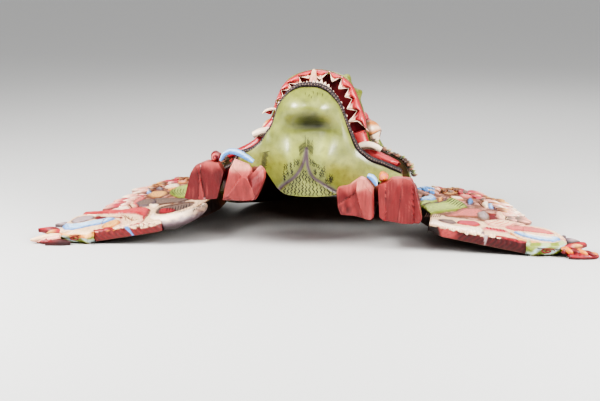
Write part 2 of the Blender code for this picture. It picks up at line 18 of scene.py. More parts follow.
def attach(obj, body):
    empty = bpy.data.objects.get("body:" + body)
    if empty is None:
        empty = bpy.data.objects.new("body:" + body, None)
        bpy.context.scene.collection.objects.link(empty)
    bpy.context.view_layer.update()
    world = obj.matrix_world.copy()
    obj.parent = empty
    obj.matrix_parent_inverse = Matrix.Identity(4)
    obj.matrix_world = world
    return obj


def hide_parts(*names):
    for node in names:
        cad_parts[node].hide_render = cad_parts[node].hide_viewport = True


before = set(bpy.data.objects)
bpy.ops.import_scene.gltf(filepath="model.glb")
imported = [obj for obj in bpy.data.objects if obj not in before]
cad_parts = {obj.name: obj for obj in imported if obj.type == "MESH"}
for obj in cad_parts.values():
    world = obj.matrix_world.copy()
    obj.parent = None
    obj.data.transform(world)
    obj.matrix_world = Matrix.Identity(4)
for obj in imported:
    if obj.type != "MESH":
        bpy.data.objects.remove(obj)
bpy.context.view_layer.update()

LOG = logging.getLogger("barong_mask")
MM = 0.001
BODY = "root"
CENTRE_Y = 121.0
Array = np.ndarray
Points = Sequence[tuple[float, float]]
Thing = bpy.types.Object


class Paint(Enum):
    """Paints of the carver's palette, as sRGB hex."""

    OLIVE = "#757b33"
    OLIVE_LIGHT = "#a5a95e"
    OLIVE_DARK = "#2e3014"
    LEAF = "#76802f"
    LEAF_LIGHT = "#a9b561"
    PALE_GREEN = "#a3b080"
    LIP = "#a8282f"
    LIP_LIGHT = "#cc5653"
    LOBE = "#721a1c"
    LOBE_DARK = "#420a0d"
    LOBE_LIGHT = "#c0605a"
    MOUTH = "#6e1418"
    MOUTH_DARK = "#360a0e"
    WALL = "#6c1416"
    WALL_DARK = "#3a090b"
    TOOTH = "#f3dcc2"
    CREAM = "#e8c49e"
    CREAM_PINK = "#e0a08c"
    PINK = "#cc6e64"
    ROSE = "#b4434c"
    BROWN = "#7a4930"
    BROWN_DARK = "#4a2c1e"
    GREY_BROWN = "#7a6458"
    MAUVE = "#5c4a50"
    MAUVE_LIGHT = "#a3908f"
    BLUE = "#5588c4"
    BLUE_LIGHT = "#b4cde4"
    ORANGE = "#cc7c34"
    ORANGE_LIGHT = "#e6ac66"
    INK = "#1a1212"
    # SHADOW is painted shadow: near-black laid on surfaces where the mask lies in shade
    SHADOW = "#20120c"
    BAND = "#2c1f22"
    BARE_WOOD = "#7d5a3a"

    @property
    def rgb(self) -> Array:
        """The paint's linear colour."""
        return linear(self.value)


(OLIVE, OLIVE_LIGHT, OLIVE_DARK, LEAF, LEAF_LIGHT, PALE_GREEN, LIP, LIP_LIGHT, LOBE, LOBE_DARK, LOBE_LIGHT, MOUTH,
 MOUTH_DARK, WALL, WALL_DARK, TOOTH, CREAM, CREAM_PINK, PINK, ROSE, BROWN, BROWN_DARK, GREY_BROWN, MAUVE, MAUVE_LIGHT,
 BLUE, BLUE_LIGHT, ORANGE, ORANGE_LIGHT, INK, SHADOW, BAND, BARE_WOOD) = Paint


Tint = Array | Paint


def linear(hex_colour: str) -> Array:
    """Turns an sRGB hex colour such as "#9fa05c" to three linear values."""
    value = np.array([int(hex_colour[i:i + 2], 16) for i in (1, 3, 5)]) / 255.0
    return np.where(value <= 0.04045, value / 12.92, ((value + 0.055) / 1.055) ** 2.4)


def add_node(tree: bpy.types.NodeTree, kind: str, links: dict | None = None, **settings) -> bpy.types.Node:
    """Adds a node with its settings, and sets or links its inputs.

    Args:
        tree: Tree that gets the node.
        kind: The node's type name.
        links: Input name or index, to a value or an output socket.
        **settings: Properties of the node.

    Returns:
        The new node.
    """
    node = tree.nodes.new(kind)
    for name, value in settings.items():
        setattr(node, name, value)
    for name, value in (links or {}).items():
        if isinstance(value, bpy.types.NodeSocket):
            tree.links.new(value, node.inputs[name])
        else:
            node.inputs[name].default_value = value
    return node


@dataclass(frozen=True)
class PaintedWood:
    """Gouache-like paint under a thin varnish, brushed over a white ground on knife-cut light wood.

    The eye sees uneven brushed colour, a little dirt in the pores, and soft broken gloss.
    """

    name: str
    roughness: float = 0.45
    mottle_mm: float = 7.0
    variation: float = 0.16
    grime: float = 0.35
    relief_mm: float = 0.25
    streak: tuple[float, float, float] = (1.0, 1.0, 1.0)
    coat: float = 0.15
    tint: Paint | None = None

    def build(self) -> bpy.types.Material:
        """Makes the finish's material once, and returns it."""
        found = bpy.data.materials.get(self.name)
        if found:
            return found
        material = bpy.data.materials.new(self.name)
        material.use_nodes = True
        tree = material.node_tree
        shader = tree.nodes["Principled BSDF"]
        place = add_node(tree, "ShaderNodeTexCoord").outputs["Object"]
        along = add_node(tree, "ShaderNodeMapping", {"Vector": place, "Scale": self.streak}).outputs["Vector"]
        mottle = add_node(tree, "ShaderNodeTexNoise",
                          {"Vector": along, "Scale": 1 / (self.mottle_mm * MM), "Detail": 4.0})
        pore_mm = 1.3
        pores = add_node(tree, "ShaderNodeTexNoise",
                         {"Vector": along, "Scale": 1 / (pore_mm * MM), "Detail": 3.0, "Roughness": 0.6})
        bright, dirty, gloss = (
            add_node(tree, "ShaderNodeMapRange", {"Value": noise.outputs["Fac"], "From Min": low, "From Max": high,
                                                  "To Min": least, "To Max": most}).outputs["Result"]
            for noise, low, high, least, most in (
                (mottle, 0.3, 0.7, 1 - self.variation, 1 + 0.6 * self.variation), (pores, 0.56, 0.74, 0.0, self.grime),
                (mottle, 0.3, 0.7, self.roughness - 0.08, self.roughness + 0.12)))
        if self.tint:
            paint = (*self.tint.rgb, 1.0)
        else:
            paint = add_node(tree, "ShaderNodeAttribute", attribute_name="paint").outputs["Color"]
        brushed = add_node(tree, "ShaderNodeMix", {0: 1.0, 6: paint, 7: bright}, data_type="RGBA",
                           blend_type="MULTIPLY")
        grimed = add_node(tree, "ShaderNodeMix", {0: dirty, 6: brushed.outputs[2], 7: (*linear("#3a2a20"), 1.0)},
                          data_type="RGBA")
        height = add_node(tree, "ShaderNodeMath", {0: mottle.outputs["Fac"], 1: pores.outputs["Fac"]},
                          operation="ADD")
        bump = add_node(tree, "ShaderNodeBump", {
            "Height": height.outputs[0], "Distance": self.relief_mm * MM, "Strength": 0.9})
        tree.links.new(grimed.outputs[2], shader.inputs["Base Color"])
        tree.links.new(gloss, shader.inputs["Roughness"])
        tree.links.new(bump.outputs["Normal"], shader.inputs["Normal"])
        shader.inputs["Coat Weight"].default_value = self.coat
        shader.inputs["Coat Roughness"].default_value = 0.25
        return material


# The jaw's skin is the glossiest paint: two soft lights show on every swelling
SKIN = PaintedWood("olive_varnished_paint", roughness=0.4, mottle_mm=9.0, variation=0.2, grime=0.25, coat=0.8)
FACE = PaintedWood("olive_face_paint", roughness=0.42, mottle_mm=10.0, variation=0.2, coat=0.2)
LIP_PAINT = PaintedWood("red_lip_gloss_paint", roughness=0.34, variation=0.12, grime=0.15, coat=0.3)
MOUTH_PAINT = PaintedWood("dark_mouth_paint", roughness=0.5, variation=0.3, grime=0.5)
LOBE_PAINT = PaintedWood("red_paint_on_chisel_cuts", roughness=0.42, mottle_mm=6.0, variation=0.22, grime=0.3,
                         relief_mm=0.35, streak=(1.0, 1.0, 0.3), coat=0.15)
RELIEF_PAINT = PaintedWood("many_coloured_relief_paint", roughness=0.48, mottle_mm=5.0, variation=0.18, grime=0.4)
TOOTH_PAINT = PaintedWood("cream_tooth_paint", roughness=0.38, variation=0.1, grime=0.25, coat=0.25)
LINE_PAINT = PaintedWood("brushed_line_paint", roughness=0.55, variation=0.2, grime=0.0, relief_mm=0.05, coat=0.0)
RIM_PAINT = PaintedWood("grey_mauve_beads", roughness=0.55, variation=0.3, grime=0.6, tint=Paint.BAND)
DOT_PAINT = PaintedWood("pale_dots", roughness=0.6, variation=0.4, grime=0.5, tint=Paint.GREY_BROWN, coat=0.0)


# ------------ curves and fields

def smooth(knots: Sequence[float], values: Sequence, at: Array | float) -> Array:
    """Smooth curve through the values at the knots, read at the given places.

    Args:
        knots: Rising places of the values.
        values: One number or row of numbers for each knot.
        at: Places to read.

    Returns:
        The curve's values there.
    """
    knots = np.asarray(knots, float)
    values = np.asarray(values, float)
    slopes = np.gradient(values, knots, axis=0)
    at = np.clip(np.asarray(at, float), knots[0], knots[-1])
    left = np.clip(np.searchsorted(knots, at, side="right") - 1, 0, len(knots) - 2)
    span = knots[left + 1] - knots[left]
    t = (at - knots[left]) / span
    if values.ndim > 1:
        t = np.expand_dims(t, -1)
        span = np.expand_dims(span, -1)
    start = (1 + 2 * t) * (1 - t) ** 2 * values[left] + t * (1 - t) ** 2 * span * slopes[left]
    end = t * t * (3 - 2 * t) * values[left + 1] + t * t * (t - 1) * span * slopes[left + 1]
    return start + end


def ease(low: float, high: float, value: Array) -> Array:
    """Soft step from 0 at low to 1 at high."""
    t = np.clip((np.asarray(value, float) - low) / (high - low), 0, 1)
    return t * t * (3 - 2 * t)


def fall(low: float, high: float, value: Array) -> Array:
    """Soft step from 1 at low to 0 at high."""
    return 1 - ease(low, high, value)


def mix(a: Tint, b: Tint, share: Array | float) -> Array:
    """Blends two paints or colours by a share for each point."""
    a, b = (tint.rgb if isinstance(tint, Paint) else tint for tint in (a, b))
    return a + (b - a) * np.asarray(share, float)[..., None]


def coats(base: Tint, *layers: tuple[Tint, Array | float]) -> Array:
    """Lays coats of paint over a base.

    Args:
        base: What the first coat goes on.
        *layers: Paint or colours of each coat, and how much of it covers each point.

    Returns:
        A linear colour for each point.
    """
    for tint, share in layers:
        base = mix(base, tint, share)
    return base


def join(*parts: Array | float) -> Array:
    """Joins coordinates to points, one row each."""
    return np.stack(np.broadcast_arrays(*parts), axis=-1)


def patch(columns: int, rows: int) -> list[Array]:
    """Places from -1 to 1 across a patch, and along it."""
    return np.meshgrid(np.linspace(-1, 1, columns), np.linspace(-1, 1, rows))


def arch(v: Array) -> Array:
    """Half-round section: 1 in the middle, and 0 at -1 and 1."""
    return np.sqrt(np.maximum(0, 1 - v * v))


def bump_at(x: Array, middle: float, width: float) -> Array:
    """Bell curve of height 1 about a middle."""
    return np.exp(-((np.asarray(x, float) - middle) / width) ** 2)


def ripple(points: Array, size: float, seed: int) -> Array:
    """Smooth uneven field from about -1 to 1, like the waver of a hand-cut surface.

    Args:
        points: Places, one row each.
        size: Length of its waves in mm.
        seed: Fixes the pattern.

    Returns:
        One value for each point.
    """
    rng = np.random.default_rng(seed)
    points = np.asarray(points, float)
    total = np.zeros(points.shape[:-1])
    waves = 7
    for _ in range(waves):
        direction = rng.normal(size=points.shape[-1])
        direction *= rng.uniform(0.7, 1.5) / np.linalg.norm(direction)
        total += np.sin(points @ direction * math.tau / size + rng.uniform(0, math.tau))
    return total / waves * 1.6


def measured(points: Array) -> Array:
    """How far along the line each of its points lies."""
    return np.concatenate([[0], np.cumsum(np.linalg.norm(np.diff(points, axis=0), axis=1))])


def line_through(points: Sequence, spacing: float = 1.5) -> Array:
    """Smooth open line through the points, with a point about every spacing mm."""
    points = np.asarray(points, float)
    along = measured(points)
    return smooth(along, points, np.linspace(0, along[-1], max(2, int(along[-1] / spacing) + 1)))


def directions(line: Array) -> tuple[Array, Array]:
    """Unit directions along a line of the plane, and to its left."""
    run = np.gradient(line, axis=0)
    run /= np.linalg.norm(run, axis=1)[:, None]
    return run, join(-run[:, 1], run[:, 0])


def closed_curve(points: Sequence, per: int = 6) -> Array:
    """Rounded closed outline through the points."""
    p = np.asarray(points, float)
    t = np.linspace(0, 1, per, endpoint=False)[:, None]
    before, after, beyond = np.roll(p, 1, 0), np.roll(p, -1, 0), np.roll(p, -2, 0)
    pieces = [0.5 * (2 * b + (c - a) * t + (2 * a - 5 * b + 4 * c - d) * t ** 2 + (3 * b - a - 3 * c + d) * t ** 3)
              for a, b, c, d in zip(before, p, after, beyond)]
    return np.concatenate(pieces)


def even_loop(points: Array, spacing: float) -> Array:
    """Closed outline with its points spread evenly."""
    ring = np.vstack([points, points[:1]])
    along = measured(ring)
    at = np.linspace(0, along[-1], int(along[-1] / spacing), endpoint=False)
    return join(*(np.interp(at, along, ring[:, k]) for k in (0, 1)))


def line_distance(points: Array, line: Array) -> tuple[Array, Array]:
    """Distance from each point to an open line, and how far along the line its nearest place lies.

    Args:
        points: Places in the plane.
        line: The line's points.

    Returns:
        Distances, and shares from 0 to 1 along the line.
    """
    best = np.full(len(points), 1e9)
    share = np.zeros(len(points))
    count = len(line) - 1
    for i in range(count):
        a, run = line[i], line[i + 1] - line[i]
        t = np.clip(((points - a) @ run) / max(run @ run, 1e-9), 0, 1)
        d = np.linalg.norm(points - a - t[:, None] * run, axis=1)
        nearer = d < best
        best[nearer] = d[nearer]
        share[nearer] = (i + t[nearer]) / count
    return best, share


def inside_distance(points: Array, outline: Array) -> Array:
    """Distance from each point to a closed outline, positive inside it."""
    ring = np.vstack([outline, outline[:1]])
    distance, _ = line_distance(points, ring)
    crossings = np.zeros(len(points), int)
    for a, b in zip(ring, ring[1:]):
        if a[1] != b[1]:
            spans = (a[1] > points[:, 1]) != (b[1] > points[:, 1])
            at = a[0] + (points[:, 1] - a[1]) / (b[1] - a[1]) * (b[0] - a[0])
            crossings += spans & (points[:, 0] < at)
    return np.where(crossings % 2 == 1, distance, -distance)


# ------------ meshes

def grid_faces(rows: int, cols: int, start: int = 0) -> Array:
    """Faces of a grid of points, as rows of four indices."""
    first = start + np.arange(rows - 1)[:, None] * cols + np.arange(cols - 1)
    return join(first, first + 1, first + cols + 1, first + cols).reshape(-1, 4)


def tube_faces(rows: int, cols: int) -> list[list[int]]:
    """Faces of a tube of closed rows of points, with a cap at each end."""
    first = np.arange(rows - 1)[:, None] * cols + np.arange(cols)
    after = np.arange(rows - 1)[:, None] * cols + (np.arange(cols) + 1) % cols
    walls = join(first, after, after + cols, first + cols).reshape(-1, 4).tolist()
    return walls + [list(range(cols)), list(range((rows - 1) * cols, rows * cols))]


def metres(points: Sequence) -> list:
    """Turns design millimetres to rows of metres in the mask's frame."""
    return ((np.asarray(points, float) - (0.0, CENTRE_Y, 0.0)) * MM).tolist()


def stand(name: str, data: bpy.types.ID) -> Thing:
    """Puts a new object with the data in the scene."""
    obj = bpy.data.objects.new(name, data)
    bpy.context.scene.collection.objects.link(obj)
    return obj


def make_piece(name: str, points: Array, faces: Iterable, finish: PaintedWood, paint: Array,
               sharp: float = 40.0) -> Thing:
    """Makes a closed mesh at the origin, with its place in its points and its paint as an attribute.

    Args:
        name: The piece's name.
        points: Its points in mm.
        faces: Its faces as indices.
        finish: What it is painted with.
        paint: A linear colour for each point.
        sharp: Angle in degrees past which an edge stays sharp.

    Returns:
        The new object.
    """
    mesh = bpy.data.meshes.new(name)
    mesh.from_pydata(metres(points), [], [list(map(int, f)) for f in faces])
    store_paint(mesh, paint)
    bm = bmesh.new()
    bm.from_mesh(mesh)
    bmesh.ops.remove_doubles(bm, verts=bm.verts, dist=1e-7)
    bmesh.ops.recalc_face_normals(bm, faces=bm.faces)
    bm.to_mesh(mesh)
    bm.free()
    mesh.shade_smooth()
    mesh.set_sharp_from_angle(angle=math.radians(sharp))
    mesh.materials.append(finish.build())
    return stand(name, mesh)


def store_paint(mesh: bpy.types.Mesh, paint: Array) -> None:
    """Writes one linear colour for each point of the mesh."""
    attribute = mesh.attributes.get("paint") or mesh.attributes.new("paint", "FLOAT_COLOR", "POINT")
    rgba = np.ones((len(mesh.vertices), 4), np.float32)
    rgba[:, :3] = np.clip(np.asarray(paint, float).reshape(-1, 3), 0, 1)
    attribute.data.foreach_set("color", rgba.ravel())


def slab_piece(name: str, front: Array, back: Array, finish: PaintedWood, *paints: Tint) -> Thing:
    """Makes a closed piece between two grids of points that match each other.

    Args:
        name: The piece's name.
        front: Grid of its outer points.
        back: Grid of its inner points.
        finish: What it is painted with.
        *paints: Paint or colours of the outer grid, and of the inner one.

    Returns:
        The new object.
    """
    rows, cols = front.shape[:2]
    total = rows * cols
    index = np.arange(total).reshape(rows, cols)
    ring = np.concatenate([index[0, :-1], index[:-1, -1], index[-1, :0:-1], index[:0:-1, 0]])
    after = np.roll(ring, -1)
    faces = np.concatenate([grid_faces(rows, cols), grid_faces(rows, cols, total),
                            join(ring, after, after + total, ring + total)])
    colours = [mix(tint, tint, np.zeros((rows, cols))).reshape(-1, 3) for tint in paints]
    points = np.concatenate([front.reshape(-1, 3), back.reshape(-1, 3)])
    return make_piece(name, points, faces, finish, np.concatenate(colours))


def dress(obj: Thing, slot: str, *nodes: str) -> Thing:
    """Makes the piece ride on the mask's one body, hides the solids that it stands for, and logs its slot."""
    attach(obj, BODY)
    if nodes:
        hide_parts(*nodes)
    LOG.info("%s: %d faces, slot %s", obj.name, len(obj.data.polygons), slot)
    return obj


# ------------ Geometry Nodes

class NodeTool:
    """A Geometry Nodes tree with named inputs, run on a mesh and turned to a plain mesh."""

    def __init__(self, name: str, inputs: Sequence[tuple[str, str, object]]) -> None:
        """Makes the empty tree.

        Args:
            name: The tree's name.
            inputs: Name, socket type and default of each input after the geometry.
        """
        self.tree = bpy.data.node_groups.new(name, "GeometryNodeTree")
        self.tree.is_modifier = True
        self.tree.interface.new_socket("Geometry", in_out="INPUT", socket_type="NodeSocketGeometry")
        for label, kind, default in inputs:
            socket = self.tree.interface.new_socket(label, in_out="INPUT", socket_type=kind)
            if default is not None:
                socket.default_value = default
        self.tree.interface.new_socket("Geometry", in_out="OUTPUT", socket_type="NodeSocketGeometry")
        self.entry = self.tree.nodes.new("NodeGroupInput")
        self.result = self.tree.nodes.new("NodeGroupOutput")

    @classmethod
    @cache
    def shared(cls) -> "NodeTool":
        """The class's one tree, built when it is first needed."""
        return cls()

    def named(self, attribute: str, kind: str) -> bpy.types.NodeSocket:
        """Output that reads a named attribute of the given data type."""
        node = add_node(self.tree, "GeometryNodeInputNamedAttribute", {"Name": attribute}, data_type=kind)
        return node.outputs[0]

    def close(self, geometry_socket: bpy.types.NodeSocket) -> None:
        """Ends the tree in realized instances, smooth shading and the finish."""
        real = add_node(self.tree, "GeometryNodeRealizeInstances", {"Geometry": geometry_socket})
        soft = add_node(self.tree, "GeometryNodeSetShadeSmooth", {"Geometry": real.outputs[0]})
        painted = add_node(self.tree, "GeometryNodeSetMaterial",
                           {"Geometry": soft.outputs[0], "Material": self.entry.outputs["Finish"]})
        self.tree.links.new(painted.outputs[0], self.result.inputs[0])

    def run(self, name: str, mesh: bpy.types.Mesh, **values) -> Thing:
        """Runs the tree on a mesh.

        Args:
            name: The new piece's name.
            mesh: What the tree starts from.
            **values: Input names, with _ for a space, and their values.

        Returns:
            An object with the result as a plain mesh and no modifier.
        """
        obj = stand(name, mesh)
        modifier = obj.modifiers.new(name, "NODES")
        modifier.node_group = self.tree
        sockets = {item.name: item.identifier for item in self.tree.interface.items_tree if item.in_out == "INPUT"}
        for label, value in values.items():
            modifier[sockets[label.replace("_", " ")]] = value
        bpy.context.view_layer.update()
        done = bpy.data.meshes.new_from_object(obj.evaluated_get(bpy.context.evaluated_depsgraph_get()))
        obj.modifiers.clear()
        obj.data = done
        done.name = name
        return obj


class LineTool(NodeTool):
    """Raised brush lines: each drawn line becomes a thin round stroke of its own width and paint."""

    def __init__(self) -> None:
        """Builds the tree."""
        super().__init__("raised_brush_lines", [("Sides", "NodeSocketInt", 6), ("Finish", "NodeSocketMaterial", None)])
        curve = add_node(self.tree, "GeometryNodeMeshToCurve", {"Mesh": self.entry.outputs["Geometry"]})
        ring = add_node(self.tree, "GeometryNodeCurvePrimitiveCircle",
                        {"Resolution": self.entry.outputs["Sides"], "Radius": 1.0})
        swept = add_node(self.tree, "GeometryNodeCurveToMesh", {
            "Curve": curve.outputs[0], "Profile Curve": ring.outputs[0],
            "Scale": self.named("radius_m", "FLOAT"), "Fill Caps": True})
        self.close(swept.outputs[0])


class BeadTool(NodeTool):
    """A row of beads, evenly spaced along a line, each a little different."""

    def __init__(self) -> None:
        """Builds the tree."""
        super().__init__("row_of_beads", [
            ("Count", "NodeSocketInt", 60), ("Radius", "NodeSocketFloat", 0.002), ("Seed", "NodeSocketInt", 1),
            ("Smallest", "NodeSocketFloat", 0.85), ("Largest", "NodeSocketFloat", 1.1),
            ("Finish", "NodeSocketMaterial", None)])
        entry = self.entry.outputs
        curve = add_node(self.tree, "GeometryNodeMeshToCurve", {"Mesh": entry["Geometry"]})
        spread = add_node(self.tree, "GeometryNodeResampleCurve", {"Curve": curve.outputs[0], "Count": entry["Count"]})
        bead = add_node(self.tree, "GeometryNodeMeshIcoSphere", {"Radius": entry["Radius"], "Subdivisions": 2})
        size = add_node(self.tree, "FunctionNodeRandomValue",
                        {2: entry["Smallest"], 3: entry["Largest"], "Seed": entry["Seed"]}, data_type="FLOAT")
        row = add_node(self.tree, "GeometryNodeInstanceOnPoints",
                       {"Points": spread.outputs[0], "Instance": bead.outputs[0], "Scale": size.outputs[1]})
        self.close(row.outputs[0])


class LeafTool(NodeTool):
    """Carved leaves, teeth or spikes: one model set at each point, turned and sized as the point says."""

    def __init__(self) -> None:
        """Builds the tree."""
        super().__init__("set_leaves", [("Model", "NodeSocketObject", None), ("Finish", "NodeSocketMaterial", None)])
        model = add_node(self.tree, "GeometryNodeObjectInfo",
                         {"Object": self.entry.outputs["Model"], "As Instance": True})
        turn = add_node(self.tree, "FunctionNodeAxesToRotation", {
            "Primary Axis": self.named("along", "FLOAT_VECTOR"), "Secondary Axis": self.named("lift", "FLOAT_VECTOR")},
            primary_axis="X", secondary_axis="Z")
        spread = add_node(self.tree, "GeometryNodeMeshToPoints", {"Mesh": self.entry.outputs["Geometry"]})
        row = add_node(self.tree, "GeometryNodeInstanceOnPoints", {
            "Points": spread.outputs[0], "Instance": model.outputs["Geometry"], "Rotation": turn.outputs[0],
            "Scale": self.named("size", "FLOAT_VECTOR")})
        self.close(row.outputs[0])


@dataclass
class LineBook:
    """Brush lines gathered for one piece."""

    lines: list[tuple[Array, Array, Array]] = field(default_factory=list)

    def add(self, points: Array, radius: float | Array, paint: Paint, taper: float = 0.5) -> None:
        """Adds a line.

        Args:
            points: Its places in mm.
            radius: Its half-width in mm, the same all along or one for each point.
            paint: Its colour.
            taper: Share of the width that it loses at its ends.
        """
        points = np.asarray(points, float)
        if len(points) < 2:
            return
        across = np.sin(np.linspace(0, math.pi, len(points)))
        widths = np.broadcast_to(radius, len(points)) * (1 - taper + taper * across)
        self.lines.append((points, widths, np.broadcast_to(paint.rgb, (len(points), 3))))

    def piece(self, name: str, finish: PaintedWood = LINE_PAINT, sides: int = 5) -> Thing:
        """Makes all lines one piece with the node tree."""
        counts = [len(p) for p, _, _ in self.lines]
        starts = np.concatenate([[0], np.cumsum(counts)[:-1]])
        edges = [(s + i, s + i + 1) for s, n in zip(starts, counts) for i in range(n - 1)]
        mesh = bpy.data.meshes.new(name)
        mesh.from_pydata(metres(np.concatenate([p for p, _, _ in self.lines])), edges, [])
        radius = mesh.attributes.new("radius_m", "FLOAT", "POINT")
        radius.data.foreach_set("value", (np.concatenate([w for _, w, _ in self.lines]) * MM).astype(np.float32))
        store_paint(mesh, np.concatenate([c for _, _, c in self.lines]))
        return LineTool.shared().run(name, mesh, Sides=sides, Finish=finish.build())


@dataclass
class LeafBook:
    """Places for copies of one carved model."""

    rows: list[tuple[Array, Array, Array, Array]] = field(default_factory=list)

    def add(self, at: Sequence[float], along: Sequence[float], lift: Sequence[float],
            size: Sequence[float] = (1, 1, 1)) -> None:
        """Adds a copy.

        Args:
            at: Where its root stands, in mm.
            along: Direction of its length.
            lift: Direction of its outer side.
            size: Its scale in length, width and height.
        """
        self.rows.append(tuple(np.asarray(v, float) for v in (at, along, lift, size)))

    def piece(self, name: str, model: Thing, finish: PaintedWood) -> Thing:
        """Makes copies of the model one piece with the node tree, and removes the model."""
        mesh = bpy.data.meshes.new(name)
        mesh.from_pydata(metres([r[0] for r in self.rows]), [], [])
        for k, label in enumerate(("along", "lift", "size"), 1):
            attribute = mesh.attributes.new(label, "FLOAT_VECTOR", "POINT")
            attribute.data.foreach_set("vector", np.array([r[k] for r in self.rows], np.float32).ravel())
        piece = LeafTool.shared().run(name, mesh, Model=model, Finish=finish.build())
        bpy.data.objects.remove(model)
        return piece


# ------------ the head's form

SECTION_ROWS = np.array([
    (60, 42, 100, 95, 72, 57.5, 98, 46, 130, 31.5, 160, 172), (85, 30, 101, 96, 66, 56.5, 92, 45.5, 129, 32, 152, 161),
    (110, 21, 101, 96, 60, 57, 90, 46.5, 118, 32, 138, 144), (140, 15, 100, 90, 54, 59, 84, 49, 106, 32, 125, 131),
    (175, 9, 96, 85, 48, 66, 75, 51, 97, 30, 112, 117), (205, 4, 88, 77, 41, 59, 63, 43, 82, 25, 95, 99),
    (235, 1, 74, 64, 32, 50, 49, 35, 61, 19, 70, 73), (258, 0, 55, 46, 20, 36, 33, 24, 42, 13, 47, 49),
    (268, 0, 43, 35, 9, 26, 16, 17, 21, 9, 24, 25), (272, 0, 34, 29, 4, 22, 6, 15, 7, 7.5, 7.8, 8)], float)
PROFILE_STOPS = np.array([0, 0.19, 0.37, 0.56, 0.81, 0.92, 1.0])


@dataclass
class HeadForm:
    """Outer form of the head, read by a stop round its profile and a place along it."""

    wall: float = 9.0
    front_y: float = 60.0
    crown_y: float = 272.0
    lean: float = 3.5

    def points(self, stops: Array, ys: Array, inner: bool = False) -> Array:
        """Points of the head's surface.

        Args:
            stops: From -1 at the left rim, over the top, to 1 at the right rim.
            ys: Places from the mouth to the crown.
            inner: Whether to read the hollow's surface.

        Returns:
            Points in mm, in the shape of the arguments.
        """
        stops, ys = np.broadcast_arrays(np.asarray(stops, float), np.asarray(ys, float))
        s, y = np.clip(stops.ravel(), -1, 1), ys.ravel()
        rim_z, rim_w, cheek_w, cheek_z, mid_w, mid_z, side_w, side_z, arch_w, arch_z, top_z = smooth(
            SECTION_ROWS[:, 0], SECTION_ROWS[:, 1:], y).T
        wall_z = rim_z + 0.4 * (cheek_z - rim_z)
        widths = join(0 * y, arch_w, side_w, mid_w, cheek_w, rim_w, rim_w)
        heights = join(top_z, arch_z, side_z, mid_z, cheek_z, wall_z, rim_z)
        if inner:
            widths = widths * (1 - self.wall / rim_w)[:, None]
            keep = np.maximum(0.25, 1 - self.wall / (top_z - rim_z))
            heights = rim_z[:, None] + (heights - rim_z[:, None]) * keep[:, None]
        knots = np.concatenate([-PROFILE_STOPS[:0:-1], PROFILE_STOPS])
        values = join(np.concatenate([-widths[:, :0:-1], widths], axis=1),
                      np.concatenate([heights[:, :0:-1], heights], axis=1))
        slopes = np.gradient(values, knots, axis=1)
        left = np.clip(np.searchsorted(knots, s, side="right") - 1, 0, len(knots) - 2)
        row = np.arange(len(s))
        span = (knots[left + 1] - knots[left])[:, None]
        t = (s - knots[left])[:, None] / span
        x, z = ((1 + 2 * t) * (1 - t) ** 2 * values[row, left] + t * (1 - t) ** 2 * span * slopes[row, left]
                + t * t * (3 - 2 * t) * values[row, left + 1] + t * t * (t - 1) * span * slopes[row, left + 1]).T
        rise = np.clip((z - 92.0) / 30.0, 0, 1)
        reach = np.clip((150.0 - y) / (150.0 - self.front_y), 0, 1)
        return join(x + self.lean * rise * reach, y, z).reshape(*stops.shape, 3)

    def raised(self, stops: Array, ys: Array, height: Array) -> Array:
        """Grid of points on the head, lifted by a height along its own direction."""
        step = 0.004
        base = self.points(stops, ys)
        across = self.points(stops + step, ys) - self.points(stops - step, ys)
        along = self.points(stops, ys + 1.0) - self.points(stops, ys - 1.0)
        out = np.cross(along, across)
        out /= np.linalg.norm(out, axis=-1, keepdims=True)
        out *= np.sign(out[..., 2:] + 1e-6 + np.sign(base[..., :1]) * out[..., :1])
        return base + out * np.asarray(height)[..., None]


